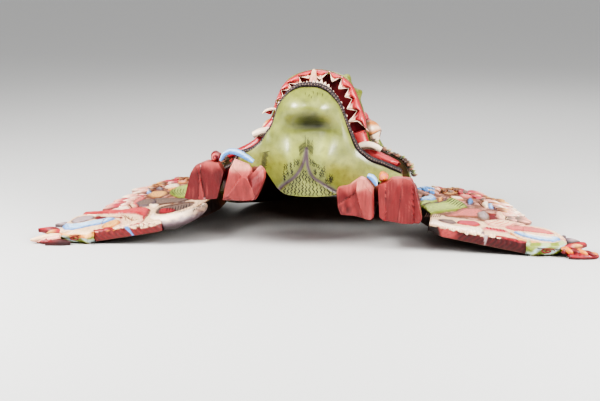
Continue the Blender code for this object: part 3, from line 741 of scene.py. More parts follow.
@dataclass
class Head:
    """Hollow head: green face with nose, eyes, brows and cheek tufts, bare wood inside."""

    form: HeadForm
    rows: int = 130
    columns: int = 181

    def build(self) -> None:
        """Builds every piece of the head."""
        self.shell()
        self.nose()
        for side, name in ((-1, "left"), (1, "right")):
            self.eye(side, name)
            self.brow(side, name)
            self.tuft(side, name)
        self.face_lines()

    def folds(self, stops: Array, ys: Array) -> Array:
        """Height of the carved folds of the skin round the muzzle and over the forehead, in mm."""
        side = np.abs(stops)
        muzzle = ease(0.16, 0.24, side) * fall(0.34, 0.40, side) * fall(112, 132, ys) * ease(64, 70, ys)
        wrinkle = np.sin((ys - 60) / 9.5 * math.tau + side * 9) * muzzle * 0.9
        ridge = bump_at(side, 0.0, 0.035) * ease(150, 170, ys) * fall(235, 255, ys) * 1.6
        brow = np.sin((ys - 165) / 15 * math.tau) * ease(168, 180, ys) * fall(212, 228, ys)
        inner, outer = bump_at(side, 0.15, 0.035) * bump_at(ys, 82, 10), bump_at(side, 0.27, 0.03) * bump_at(ys, 78, 8)
        rolls = (9.5 * inner + 5.5 * outer) * (0.65 + 0.35 * np.sign(stops))
        return wrinkle + ridge + brow * fall(0.25, 0.42, side) * 0.8 + rolls

    def shell(self) -> None:
        """Builds the head's wall with its painted skin."""
        start, length = self.form.front_y, self.form.crown_y - self.form.front_y
        stops, ys = np.meshgrid(np.linspace(-1, 1, self.columns),
                                start + length * np.linspace(0, 1, self.rows) ** 0.96)
        fold = self.folds(stops, ys)
        keep = ease(0.0, 0.04, 1 - np.abs(stops)) * ease(60, 64, ys) * ease(0, 5, self.form.crown_y - ys)
        wander = ripple(self.form.points(stops, ys), 34, 3) * 0.35
        outer = self.form.raised(stops, ys, (fold + wander) * keep)
        inner = self.form.points(stops, ys, inner=True)
        inner[..., 1] = start + (ys - start) * ((length - self.form.wall) / length)
        socket = bump_at(np.abs(stops), 0.475, 0.12) * bump_at(ys, 121, 21)
        low = 40 * ease(0.80, 0.86, np.abs(stops))
        cheek = ease(0.53, 0.58, np.abs(stops)) * fall(96, 108, ys + low + 4 * ripple(outer, 14, 16))
        # painted shade darkens the grooves of the folds; painted shadow (SHADOW) covers the cheek's side round the tuft
        # and down to the rim
        paint = coats(OLIVE, (OLIVE_LIGHT, 0.5 * ease(-0.2, 0.9, ripple(outer, 42, 5))),
            (OLIVE_DARK, 0.55 * ease(0.25, 1.0, -fold)),
            (OLIVE_DARK, 0.5 * bump_at(np.abs(stops), 0.98, 0.03)),
            (OLIVE_DARK, 0.6 * ease(0.35, 0.8, socket)), (SHADOW, 0.9 * cheek))
        gouged = 0.12 * ripple(inner * (1, 0.3, 1), 9, 8)
        wood = mix(BARE_WOOD, BROWN_DARK, 0.45 + gouged)
        dress(slab_piece("carved_head", outer, inner, FACE, paint, wood), "skin_green", "face_shell")

    def hug(self, stops: Array, ys: Array, height: Array) -> tuple[Array, Array]:
        """Outer and under grids of a form raised on the head."""
        return self.form.raised(stops, ys, height), self.form.raised(stops, ys, -0.8)

    def nose(self) -> None:
        """Builds the broad nose with two shallow nostril dips, painted dark inside as painted shade."""
        u, v = patch(81, 61)
        stops, ys = u * (0.20 - 0.05 * v), 80 + 15 * v
        wings = bump_at(np.abs(u), 0.68, 0.3)
        round_off = (np.maximum(0, 1 - v * v) ** 0.5) * (1 - np.abs(u) ** 5)
        hole = np.exp(-((np.abs(u) - 0.58) / 0.17) ** 2 - ((v + 0.42) / 0.27) ** 2)
        height = (1.2 + 4.6 * (0.62 + 0.5 * wings)) * round_off - 4.2 * hole
        front, back = self.hug(stops, ys, np.maximum(height, -0.5))
        # painted highlight on the nose's wings; painted shade (MOUTH_DARK) in the nostril dips, with a red rim round
        # them
        paint = coats(OLIVE, (OLIVE_LIGHT, 0.6 * wings * round_off),
            (MOUTH_DARK, ease(0.25, 0.7, hole)),
            (LIP, 0.8 * ease(0.14, 0.3, hole) * fall(0.3, 0.6, hole)))
        dress(slab_piece("broad_nose", front, back, SKIN, paint, OLIVE), "skin_green", "nose")

    def eye(self, side: int, name: str) -> None:
        """Builds a bulging eye under its orange lid."""
        u, v = patch(61, 61)
        du, dv = u * np.sqrt(1 - v * v / 2), v * np.sqrt(1 - u * u / 2)
        r = np.hypot(du, dv)
        lid_line = 0.06 + 0.25 * dv * dv
        lid = 1 - ease(lid_line - 0.05, lid_line + 0.05, du)
        height = 12.0 * arch(r) + 1.3 * lid * (1 - r ** 4)
        stops, ys = side * (0.485 + 0.096 * du), 121 + 17 * dv
        front, back = self.hug(stops, ys, height)
        pupil = np.hypot(du - 0.42, dv)
        ball = coats(TOOTH, (ORANGE, fall(0.30, 0.34, pupil)), (INK, fall(0.20, 0.24, pupil)))
        # a painted highlight: a cream band along the middle of the orange lid
        cover = mix(ORANGE, TOOTH, 0.75 * bump_at(du, -0.18, 0.22))
        paint = coats(ball, (cover, lid), (BROWN_DARK, bump_at(du - lid_line, 0.0, 0.045)),
            (BROWN_DARK, 0.8 * ease(0.93, 0.99, r)))
        piece = slab_piece(f"bulging_eye_{name}", front, back, TOOTH_PAINT, paint, TOOTH)
        dress(piece, "eye_white", f"eye_{name}")

    def brow(self, side: int, name: str) -> None:
        """Builds a flame-shaped brow of three carved tongues."""
        u, v = patch(91, 31)
        tongues = np.abs(np.sin(u * math.pi * 2.0))
        stops = side * (0.25 + 0.14 * u)
        ys = 153 + 9 * (1 - u * u) + (5.0 + 3.5 * tongues) * v
        height = (1.0 + 6.0 * (1 - v * v)) * (1 - 0.55 * u * u) * (0.72 + 0.28 * tongues)
        front, back = self.hug(stops, ys, height * (1 - np.abs(u) ** 8))
        paint = coats(ROSE, (CREAM, ease(-0.5, 0.5, v)), (BROWN_DARK, 0.8 * fall(0.05, 0.3, tongues)))
        dress(slab_piece(f"flame_brow_{name}", front, back, RELIEF_PAINT, paint, BROWN),
              "scroll_brown", f"brow_{name}")

    def tuft(self, side: int, name: str) -> None:
        """Builds the cheek's tuft: overlapping rows of small carved leaves on a low pad."""
        u, v = patch(41, 31)
        edge = (1 - u ** 6) * (1 - v ** 6)
        stops, ys = side * (0.70 + 0.13 * u), 84 + 17 * v + 3 * u
        front, back = self.hug(stops, ys, 2.2 * edge)
        pad = slab_piece(f"tuft_pad_{name}", front, back, RELIEF_PAINT, BROWN_DARK, BROWN_DARK)
        dress(pad, "leaf_green", f"cheek_tuft_{name}")
        rng = np.random.default_rng(11)
        tints = ((BROWN_DARK, GREY_BROWN), (BROWN, CREAM), (OLIVE_DARK, LEAF_LIGHT))
        for kind, (root, tip) in enumerate(tints):
            book = LeafBook()
            for row, y in enumerate((63.0, 70.0, 78.0, 87.0, 96.0)):
                for k in range(11 if row < 2 else 13):
                    if (k + row) % 3 != kind:
                        continue
                    stop = side * (0.555 + 0.024 * k + 0.010 * (row % 2) + rng.uniform(-0.008, 0.008))
                    spot = np.array(stop), np.array(y + rng.uniform(-2.2, 2.2))
                    at = self.form.raised(*spot, np.array(1.4))
                    out = self.form.raised(*spot, np.array(2.4)) - at
                    lean = np.array([side * 0.55, 0.6, -0.35]) + out * rng.uniform(0.15, 0.5)
                    size = rng.uniform(0.55, 0.9)
                    book.add(at, lean, out, (size, size * 0.9, size))
            model = leaf_model(f"tuft_leaf_{kind}", 13.0, 5.2, 2.0, root, tip)
            dress(book.piece(f"cheek_leaves_{name}_{kind}", model, RELIEF_PAINT), "leaf_green")

    def face_lines(self) -> None:
        """Draws the fine dark lines round the eyes, over the muzzle and on the forehead."""
        book = LineBook()
        for side in (-1, 1):
            for ring in (1.25, 1.5, 1.75):
                turn = np.linspace(-2.2, 2.2, 40)
                stops = side * (0.475 - 0.082 * ring * np.cos(turn))
                ys = 121 + 16 * ring * np.sin(turn)
                book.add(self.form.raised(stops, ys, 0.15), 0.45, OLIVE_DARK)
            for k in range(5):
                y = np.linspace(178 + 9 * k, 196 + 9 * k, 16)
                stops = side * (0.12 + 0.05 * k + 0.05 * np.sin((y - 178) / 12))
                book.add(self.form.raised(stops, y, 0.15), 0.5, OLIVE_DARK)
            for k in range(7):
                stops = side * np.linspace(0.22, 0.36, 14)
                y = 66 + 7.5 * k + 6 * np.sin((stops * side - 0.22) * 9)
                book.add(self.form.raised(stops, y, 0.2), 0.45, OLIVE_DARK)
        dress(book.piece("fine_face_lines"), "skin_green")


def leaf_model(name: str, length: float, width: float, height: float, root: Paint, tip: Paint,
               curl: float = 0.35, cleft: float = 0.35, point: float = 0.8) -> Thing:
    """Makes one carved leaf to be copied: a pointed tongue with a cut down its middle.

    Args:
        name: The model's name.
        length: Its length along X in mm.
        width: Its greatest width.
        height: Its greatest height.
        root: Paint at its root.
        tip: Paint at its tip.
        curl: How far its tip bends to the side, as a share of the length.
        cleft: Depth of the middle cut, as a share of the height.
        point: How sharply it narrows to its ends.

    Returns:
        A closed mesh object at the origin, in metres.
    """
    u, v = np.meshgrid(np.linspace(0, 1, 15), np.linspace(-1, 1, 9), indexing="ij")
    half = 0.5 * width * np.sin(math.pi * np.clip(u, 0.06, 0.995) ** 0.62) ** point
    x, y = length * u, CENTRE_Y + half * v + curl * length * u ** 2.4
    dome = arch(v) * (1 - cleft * bump_at(v, 0, 0.25))
    z = height * dome * np.sin(math.pi * np.clip(u, 0.12, 0.98) ** 0.8) ** 0.5 + 0.25 * height * u
    paint = coats(root, (tip, ease(0.25, 0.85, u)),
                  (INK, 0.7 * (np.abs(v) > 0.95) + 0.55 * bump_at(v, 0, 0.14) * (u < 0.8)))
    return slab_piece(name, join(x, y, z), join(x, y, -0.3 * height), RELIEF_PAINT, paint, root)


# ------------ lower jaw

JAW_ROWS = np.array([
    (0, 159, 50), (8, 158.5, 50), (15, 156, 50.5), (24, 149, 52), (31, 139, 57), (38, 119, 66), (45, 100, 75),
    (55, 88.5, 71), (75, 78, 60), (92, 69, 50)], float)
JAW_SWELLINGS = ((0, 138, 25, 17, -12.5), (-15, 143, 10, 11, -3), (16, 141, 10, 11, -3), (3, 120, 18, 10, 8),
                 (-17, 88, 14, 20, -8), (17, 88, 14, 20, -8), (0.5, 144, 4, 4.5, -1.3))
CREASE_LEFT = ((-31, 55), (-25.4, 60.5), (-13.4, 70), (-6.7, 79.3), (-2.7, 90), (-1.4, 99))
CREASE_RIGHT = ((31, 53), (25.2, 56.6), (13.3, 64.6), (5.2, 70), (0.6, 79.3), (-0.7, 90), (-1.2, 99))


@dataclass
class LowerJaw:
    """Green bell of the lower jaw and throat, with its beaded rim, teeth and painted hair."""

    wall: float = 8.0
    half_width: float = 92.0
    back_y: float = 56.0
    columns: int = 241
    rows: int = 121
    seed: int = 5

    def build(self) -> None:
        """Builds every piece of the jaw."""
        self.bell()
        self.rim()
        self.teeth()
        self.hair()

    def rim_height(self, x: Array) -> Array:
        """Height of the jaw's rim at each distance from the centre: the left flare stands higher."""
        left_rise = 9.0 * ease(37, 45, -x) * fall(70, 84, -x)
        return smooth(JAW_ROWS[:, 0], JAW_ROWS[:, 1], np.abs(x)) + left_rise

    def front(self, x: Array, z: Array) -> Array:
        """How far the outer surface lies from the throat along Y."""
        y = 0.004 * x * x
        for cx, cz, width, height, depth in JAW_SWELLINGS:
            y = y + depth * np.exp(-((x - cx) / width) ** 2 - ((z - cz) / height) ** 2)
        lip = np.exp(-np.maximum(self.rim_height(x) - z, 0.0) / 9.0)
        return y + lip * 12.0 * bump_at(x, 0, 45.0)

    def skin(self, x: Array, z: Array) -> Array:
        """The outer surface with its two creases and the waver of the carver's hand."""
        plane = join(x, z)
        crease = self.crease(plane.reshape(-1, 2)).reshape(np.shape(x))
        return self.front(x, z) + 1.6 * bump_at(crease, 0, 1.6) - 0.35 * ripple(plane, 26, 4)

    def crease(self, plane: Array) -> Array:
        """Distance of each place from the nearer of the two creases."""
        return np.minimum(*(line_distance(plane, line_through(c))[0] for c in (CREASE_LEFT, CREASE_RIGHT)))

    def edge(self, xs: Array) -> Array:
        """Points of the rim, evenly spread between the first and last of the given places."""
        fine = np.linspace(xs[0], xs[-1], 600)
        line = join(fine, self.rim_height(fine))
        along = measured(line)
        at = np.linspace(0, along[-1], len(xs))
        x, z = np.interp(at, along, line[:, 0]), np.interp(at, along, line[:, 1])
        return join(x, self.front(x, z), z)

    def bell(self) -> None:
        """Builds the wall and paints it: painted highlights on the bosses and swellings, dark brushwork and painted
        shade in the hollow under the chin, two creases with painted shade beside them, and the mauve rim.
        """
        edge = self.edge(np.linspace(-self.half_width, self.half_width, self.columns))
        throat = smooth(JAW_ROWS[:, 0], JAW_ROWS[:, 2], np.abs(edge[:, 0])) - 11.0 * bump_at(edge[:, 0], 43, 11)
        up = np.linspace(0, 1, self.rows)[:, None]
        x = np.broadcast_to(edge[:, 0], (self.rows, self.columns))
        z = throat + up * (edge[:, 2] - throat)
        y = self.front(x, z)
        plane = join(x.ravel(), z.ravel())
        crease = self.crease(plane).reshape(x.shape)
        inside = np.minimum(ease(0, 5, edge[:, 2] - z), ease(-0.5, 3, z - throat))
        front = join(x, y + (self.skin(x, z) - y) * inside, z)
        blend = ease(80.0, 87.0, np.abs(x))
        back = join(x, (1 - blend) * (y + self.wall) + blend * self.back_y, z)
        # painted highlights where the two soft lights fall on the chin's bosses and the throat's swellings
        lit = sum(np.exp(-((x - a) / 9) ** 2 - ((z - b) / c) ** 2)
                  for a, b, c in ((-13, 143, 7), (17, 140, 8), (-19, 93, 12), (16, 96, 12)))
        # the hollow under the chin boss and between the bosses: partly the mask's own dark brushwork, partly painted
        # shade
        dark_paint_and_shade = np.exp(-((x - 4) / 19) ** 2 - ((z - 122.5 + 0.006 * (x - 4) ** 2) / 8.5) ** 2)
        dark_paint_and_shade = dark_paint_and_shade + 0.42 * np.exp(-((x - 3) / 17) ** 2 - ((z - 132) / 9) ** 2)
        streaks = 0.9 + 0.1 * ripple(plane * (0.25, 1), 4.5, 9).reshape(x.shape)
        # shade: painted shade on the sides of the throat
        shade = np.exp(-((np.abs(x) - 47) / 13) ** 2 - ((z - 92) / 24) ** 2)
        paint = coats(OLIVE,
            (OLIVE_LIGHT, 0.14 + 0.32 * ease(-0.4, 1.0, ripple(plane, 30, 6).reshape(x.shape))),
            (OLIVE_LIGHT, 0.45 * np.clip(lit, 0, 1)),
            (OLIVE_DARK, np.clip(1.1 * dark_paint_and_shade * streaks, 0, 1)),
            (OLIVE_DARK, 0.15 * shade * streaks),
            # painted shade: a wide darker band along each crease
            (OLIVE_DARK, 0.35 * bump_at(crease, 0, 6.0)),
            (MAUVE, np.exp(-(crease / 1.7) ** 4) * ease(50, 56, z)),
            (INK, 0.8 * fall(0.3, 0.9, edge[:, 2] - z)),
            (OLIVE_DARK, 0.22 * ease(0.3, 1.0, -ripple(plane, 11, 12).reshape(x.shape))),
            # painted shade: dark red on the jaw's far left end, where it lies behind the lobes
            (LOBE_DARK, ease(-70, -76, x)))
        inner = mix(MOUTH, MOUTH_DARK, fall(0.3, 0.9, up + 0 * x))
        dress(slab_piece("jaw_bell", front, back, SKIN, paint, inner), "skin_green", "lower_jaw")

    def rim(self) -> None:
        """Builds the rim's bar as two rows of beads with black dots between them."""
        path = self.edge(np.linspace(-self.half_width + 3, self.half_width - 3, 240))
        x, y, z = path.T
        out = directions(path[:, [0, 2]])[1]
        hidden = 2.6 * ease(-12, -30, x) * (1 - 0.6 * ease(-52, -70, x)) + 2.0 * bump_at(x, 33, 10)
        for label, lift, back, radius, count, seed, finish, nodes in (
                ("rim_beads", 1.5, 2.6, 1.9, 150, 1, RIM_PAINT, ["lower_lip"]),
                ("rim_beads_inner", 2.2, 5.6, 2.2, 130, 2, RIM_PAINT, []),
                ("rim_dots", 2.4, 1.1, 0.8, 96, 3, DOT_PAINT, [])):
            mesh = bpy.data.meshes.new(label)
            row = join(x + out[:, 0] * (lift - hidden), y + back, z + out[:, 1] * (lift - hidden))
            mesh.from_pydata(metres(row), [(i, i + 1) for i in range(len(row) - 1)], [])
            piece = BeadTool.shared().run(label, mesh, Count=count, Radius=radius * MM, Seed=seed,
                                          Finish=finish.build())
            dress(piece, "rim_grey", *nodes)

    def teeth(self) -> None:
        """Sets the low teeth behind the rim and builds the single front tooth."""
        edge = self.edge(np.linspace(-36, 43, 240))[np.r_[0:64:16, 70:168:6, 176:240:16]]
        book = LeafBook()
        for k, (point, (rx, rz)) in enumerate(zip(edge, directions(edge[:, [0, 2]])[0])):
            out = np.array([-rz, 0.0, rx])
            size = (0.5 + 0.3 * bump_at(point[0], 0, 16) + 0.5 * bump_at(point[0], 12, 7)) * (1.0, 0.9)[k % 2]
            book.add(point - 1.2 * out + (0, self.wall + 2.2, 0), out - (0, 0.12, 0), (0, -1, 0), (size, 0.95, 1.1))
        model = leaf_model("tooth_model", 8.0, 5.4, 2.4, TOOTH, TOOTH, curl=0.0, cleft=0.0)
        dress(book.piece("low_teeth", model, TOOTH_PAINT), "tooth_white", "lower_teeth")
        u, v = np.meshgrid(np.linspace(0, 1, 31), np.linspace(-1, 1, 17), indexing="ij")
        half = 4.7 * (1 - 0.62 * u) * arch(np.clip((u - 0.8) / 0.2, 0, 1)) + 0.05
        x, z = -0.4 + half * v + 1.2 * u, 157.5 + 16.0 * u
        y = 46.2 - 3.2 * arch(v) * (1 - 0.4 * u) - 1.2 * u
        paint = mix(CREAM_PINK, CREAM, ease(0.2, 1.0, u))
        piece = slab_piece("front_fang", join(x, y, z), join(x, 47.4, z), TOOTH_PAINT, paint, CREAM)
        dress(piece, "tooth_white", "front_tooth")

    def hair(self) -> None:
        """Draws the hair of the throat: wavy lines between the creases, and ticks beside and above them."""
        rng = np.random.default_rng(self.seed)
        book = LineBook()

        def drawn(x: Array, z: Array, radius: float) -> None:
            """Adds a hair that lies on the skin."""
            if len(x) > 1:
                book.add(join(x, self.skin(x, z) - 0.12, z), radius, INK)

        left, right = np.array(CREASE_LEFT, float), np.array(CREASE_RIGHT, float)
        heights = np.linspace(50.8, 90, 60)
        low = np.interp(heights, left[:, 1], left[:, 0]) + 2.6
        high = np.interp(heights, right[:, 1], right[:, 0]) - 2.6
        for k in range(-7, 8):
            foot, start, phase = -1.8 + 3.9 * k + rng.uniform(-0.4, 0.4), 50.8, rng.uniform(0, 6)
            while start < 86:
                z = np.linspace(start, start + rng.uniform(8, 16), 40)
                wave = np.sin(z / 4.4 * math.tau + phase + 1.4 * np.sin(z / 2.9 + 2 * phase))
                x = foot * (1 - 0.010 * (z - 50)) + 0.85 * wave
                fits = (x > np.interp(z, heights, low)) & (x < np.interp(z, heights, high)) & (z < 86)
                stop = len(z) if fits.all() else int(np.argmin(fits))
                drawn(x[:stop], z[:stop], 0.42)
                if stop < len(z):
                    break
                start = z[-1] + rng.uniform(0.4, 1.6)
        for side, line in ((-1, left), (1, right)):
            for k in range(7):
                for start in (64.0, 73.0, 82.0):
                    away = 3.2 + 1.9 * k + rng.uniform(-0.4, 0.4)
                    z0 = start + rng.uniform(-2, 2) - 0.9 * k * (start > 70)
                    z = np.linspace(z0, z0 + rng.uniform(5, 8), 16)
                    x0 = np.interp(z0, line[:, 1], line[:, 0]) + side * away
                    if abs(x0) < 28 and z0 > 62:
                        drawn(x0 + 0.7 * np.sin(z / 3.0 * math.tau + k) - side * 0.12 * (z - z0), z, 0.3)
            for k in range(6):
                z = np.linspace(98 - 1.2 * k, 108 + rng.uniform(0, 6) - 1.5 * k, 14)
                away = side * (0.6 + 1.15 * k) + side * 0.06 * (z - 98)
                drawn(-1.4 + away + 0.4 * np.sin(z / 3.6 * math.tau + k), z, 0.24)
        for x0, z0 in ((-3, 152), (1, 150.5), (4, 149), (5, 153), (9, 151.5), (14, 150)):
            z = np.linspace(z0, z0 + rng.uniform(2, 4.5), 6)
            drawn(x0 + 0.3 * np.sin(z), z, 0.22)
        for k in range(18):
            z0 = 70 + 1.3 * k
            x = np.linspace(-51 + 0.24 * k, -45.5 + 0.24 * k + rng.uniform(0, 2), 6)
            drawn(x, z0 + 0.28 * (x - x[0]), 0.34)
        dress(book.piece("throat_hair"), "rim_grey")


# ------------ upper lip and mouth

LIP_EDGE = (  # inner edge of the lip, left to right: x, z and whether it is a tooth's tip
    (-51.5, 128.5, 0.4), (-44, 131.5, 0.6), (-35, 131, 1), (-39, 141, 0), (-30, 142, 1), (-33.5, 151, 0),
    (-22, 152, 1), (-25.5, 158, 0), (-12, 157.5, 1), (-15, 165.5, 0), (-5, 164.5, 1), (-1.5, 168.5, 0), (7, 163.5, 1),
    (16.5, 171, 0), (19.5, 161.5, 1), (29.5, 165.5, 0), (26.5, 154, 1), (36.5, 154, 0), (33, 146, 1), (39.5, 143, 0),
    (35, 133.5, 1), (45, 131, 0), (37, 120.5, 1), (46, 120.5, 0.6), (57, 110.5, 0.2))


@dataclass
class UpperLip:
    """Saw-toothed red lip round the open mouth, its tails, the tusks on them and the dark palate."""

    form: HeadForm
    front_y: float = 48.0
    back_y: float = 56.0

    def build(self) -> None:
        """Builds every piece of the mouth."""
        self.palate()
        self.lip()
        self.tails()

    def palate(self) -> None:
        """Builds the dark red vault behind the teeth, with low ridges across it."""
        stops = np.linspace(-0.78, 0.78, 121)
        reach = np.linspace(0.0, 0.97, 61)[:, None]
        rim = self.form.points(stops, self.form.front_y)
        squeeze = np.where(reach > 0.9, 0.985, 1.0)
        x = rim[:, 0] * (0.72 + 0.28 * reach) * squeeze
        z = 64.0 + (rim[:, 2] - 64.0) * reach
        inside = np.clip((0.7 - reach) / 0.5, 0, 1) * np.clip((0.7 - np.abs(stops)) / 0.3, 0, 1)
        depth = 22.0 * inside * inside * (3 - 2 * inside) * (0.25 + 0.75 * ease(-14, 6, x))
        ridges = 0.7 * np.sin(z / 6.0 * math.tau) * ease(0.05, 0.3, inside)
        front = join(x, 56.3 + depth - ridges, z)
        back = join(x, 59.7 + depth, z)
        # painted shade darkens the vault deeper in; painted light (LIP_LIGHT) brightens its left part, which lies in
        # shadow behind the teeth
        paint = coats(MOUTH, (MOUTH_DARK, ease(0.1, 0.8, inside)),
            (LIP, 0.45 * fall(0.5, 0.8, np.abs(stops) + 0 * x) * fall(95, 118, z)),
            (LIP_LIGHT, 0.85 * fall(-8, 4, x + 0 * z)))
        dress(slab_piece("mouth_vault", front, back, MOUTH_PAINT, paint, BARE_WOOD), "mouth_red", "palate")

    def lip(self) -> None:
        """Builds the lip from the head's edge to its saw-toothed inner edge, with cream lines on the teeth."""
        knots = np.array(LIP_EDGE, float)
        dense = np.linspace(-0.52, 0.52, 400)
        rim = self.form.points(dense, self.form.front_y)
        near = [dense[np.argmin(np.hypot(rim[:, 0] - x, rim[:, 2] - z))] for x, z, _ in knots]
        near = np.maximum.accumulate(np.linspace(-1, 1, len(near)) * 1e-3 + near)
        per = 14
        at = np.linspace(0, len(knots) - 1, (len(knots) - 1) * per + 1)
        index = np.arange(len(knots))
        inner_x, inner_z, tip = (np.interp(at, index, knots[:, k]) for k in range(3))
        pull = ease(0, 1, tip)
        outer = self.form.points(np.interp(at, index, near), self.form.front_y)
        flare = (0.9 * ease(8, 34, outer[:, 0]) - 0.4 * ease(-20, -36, outer[:, 0])) * fall(112, 104, outer[:, 2])
        outer = outer + join(0.9 * flare, 0 * flare, 0.4 * np.abs(flare) * ease(120, 150, outer[:, 2]))
        t = np.linspace(0, 1, 13)[:, None]
        x = outer[:, 0] + (inner_x - outer[:, 0]) * t
        z = outer[:, 2] + (inner_z - outer[:, 2]) * t
        swell = 2.6 * np.sin(math.pi * np.clip(t * 1.25, 0, 1)) ** 0.8
        y = self.front_y + 2.0 * fall(0, 0.18, t) - swell - 2.2 * pull * t ** 3
        groove = 0.9 * (1 - tip) * bump_at(t, 0.72, 0.2)
        front = join(x, y + groove, z)
        back = join(x, self.back_y - 3.5 * pull * t ** 2 + 0 * x, z)
        # painted highlight along the lip's rounded crest, and painted shade on its inner edge between the teeth
        paint = coats(LIP, (LIP_LIGHT, 0.8 * bump_at(t, 0.3, 0.24) + 0 * x),
            (LOBE_DARK, 0.5 * ease(0.6, 1.0, t) * (1 - tip)),
            (CREAM_PINK, ease(0.55, 0.75, t) * ease(0.4, 0.8, tip)),
            (TOOTH, ease(0.8, 0.9, t) * ease(0.5, 0.9, tip)))
        dress(slab_piece("saw_toothed_lip", front, back, LIP_PAINT, paint, MOUTH), "lip_red", "upper_lip")
        book = LineBook()
        rim_line = join(inner_x, y[-1] + 0.1, inner_z)
        book.add(rim_line, 0.38 + 0.85 * tip ** 2, TOOTH, taper=0.2)
        fang = line_through([(-35, 131.6), (-43, 132.0), (-50, 129.4), (-52.5, 127.0)], 1.0)
        book.add(join(fang[:, 0], np.full(len(fang), 45.0), fang[:, 1]),
                 smooth([0, 0.5, 0.85, 1], [0.9, 1.5, 1.1, 0.4], np.linspace(0, 1, len(fang))), TOOTH, taper=0.0)
        for k in range(1, len(knots) - 1):
            if knots[k, 2] == 1 and knots[k, 0] > -30:
                root = front[7, k * per] + (0, -0.2, 0)
                book.add(line_through([rim_line[k * per], root], 1.0), np.array(1.1), CREAM, taper=0.6)
        dress(book.piece("lip_edge_lines", TOOTH_PAINT, sides=8), "tooth_white")

    def tails(self) -> None:
        """Builds the lip's tails down the cheeks, and the cream tusk that crosses each, with lines of painted shade
        along its underside.
        """
        share, t = np.linspace(0, 1, 61), np.linspace(0, 1, 15)[:, None]
        width = (15.5 - 11 * share) * ease(-0.02, 0.05, share) + 0.5
        for side, name, top, outset, lit, path, heft in (
                (-1, "left", 0.405, 5.5, 0.5, [(-42, 110.5), (-49, 109.2), (-56, 107.4), (-62, 105.0)],
                 (4.0, 4.4, 4.4, 3.8)),
                (1, "right", 0.475, 0.0, 0.85, [(43, 91.5), (49, 95.3), (56, 96.6), (63, 95.2), (70, 92.0)],
                 (3.2, 3.9, 4.0, 3.9, 3.4))):
            outer = self.form.points(side * np.linspace(top, 0.752, 61), self.form.front_y)
            inward = -side * directions(outer[:, [0, 2]])[1]
            reach = 0.6 - outset * ease(0.0, 0.3, share) + width * t
            x, z = outer[:, 0] + inward[:, 0] * reach, outer[:, 2] + inward[:, 1] * reach
            dome = arch(2 * t - 1) * np.minimum(1, 6 * (1 - share) + 0.2)
            # painted highlight along the tail's crest, stronger on the right tail, and painted shade along its inner
            # edge
            paint = coats(LIP, (LIP_LIGHT, lit * dome), (LOBE_DARK, 0.6 * ease(0.86, 1.0, t)))
            tail = slab_piece(f"red_tail_{name}", join(x, 51.0 - 5.2 * dome, z), join(x, 56.0, z), LIP_PAINT,
                              paint, MOUTH)
            dress(tail, "lip_red", f"lip_tail_{name}")
            line = line_through(path, 1.0)
            radius = smooth(np.linspace(0, 1, len(heft)), heft, np.linspace(0, 1, len(line)))
            book, underside_shade = LineBook(), LineBook()
            book.add(join(line[:, 0], 44.0, line[:, 1]), radius, TOOTH, taper=0.15)
            dress(book.piece(f"cream_tusk_{name}", TOOTH_PAINT, sides=20), "tooth_white", f"tusk_{name}")
            # two lines of painted shade along the tusk's underside
            for drop, paint in ((0.35, GREY_BROWN), (0.75, BROWN_DARK)):
                low = join(line[:, 0], 44.0 - radius * math.cos(drop) - 0.1, line[:, 1] - radius * math.sin(drop))
                underside_shade.add(low[3:-6], 0.4, paint)
            dress(underside_shade.piece(f"tusk_lines_{name}"), "tooth_white")


# ------------ red lobes

@dataclass(frozen=True)
class LobeShape:
    """One hanging lobe: its front outline, the rings it passes through, and how it is cut and painted."""

    name: str
    rings: tuple[tuple[float, float, float, float], ...]
    outline: tuple[tuple[float, float], ...]
    cut: tuple[float, float, float]
    # light_above: height above which the lobe is painted lighter, as painted light; worn: how much lighter and cream
    # paint it gets, partly wear and partly painted light
    light_above: float
    worn: float
    seed: int


LOBES = (
    LobeShape("lobe_outer_left", ((-22, 0, 0, 0.93), (-12, 0, 0, 1), (30, -3, -1, 0.54), (59.7, -5.5, -8, 0.5)),
              ((-123, 48), (-116, 75), (-112, 82), (-98, 88), (-86, 87), (-80, 77), (-87.5, 48), (-112, 46)),
              (1.0, 0.6, 0.24), 84.0, 0.15, 33),
    LobeShape("lobe_inner_left", ((-28, 0, 0, 0.93), (-23, 0, 0, 1), (14.2, -12, -2, 0.6)),
              ((-83, 48.5), (-79, 66), (-75.7, 79), (-70, 91), (-61, 87.5), (-55.5, 85.5), (-52.3, 80), (-50, 75.5),
               (-48, 81), (-44, 84.5), (-39.6, 80), (-38.8, 72.5), (-44, 59), (-49, 50), (-57, 48)),
              (0.8, 0.8, 0.6), 80.0, 0.8, 22),
    LobeShape("lobe_inner_right", ((-28, 0, 0, 0.93), (-23, 0, 0, 1), (17, 13, 0.5, 0.55)),
              ((30.5, 60), (32.5, 65), (42.5, 67), (54.5, 76), (60, 74.5), (67, 65), (67.5, 35), (64.5, 32), (56, 34),
               (47, 36.5), (34.5, 37), (31.5, 46)),
              (0.8, 0.8, 0.6), 64.0, 0.45, 23),
    LobeShape("lobe_outer_right", ((-24, 0, 0, 0.93), (-13.5, 0, 0, 1), (30, 6, -4, 0.5), (59.7, 9, -7, 0.44)),
              ((70, 60), (70.5, 68.5), (78, 71), (85, 75), (97, 76), (104, 74.5), (108, 66), (116, 33.5),
               (113.5, 28.5), (96, 27.5), (77, 30.5), (71.5, 34)),
              (1.0, 0.6, 0.2), 76.0, 0.35, 31),
)


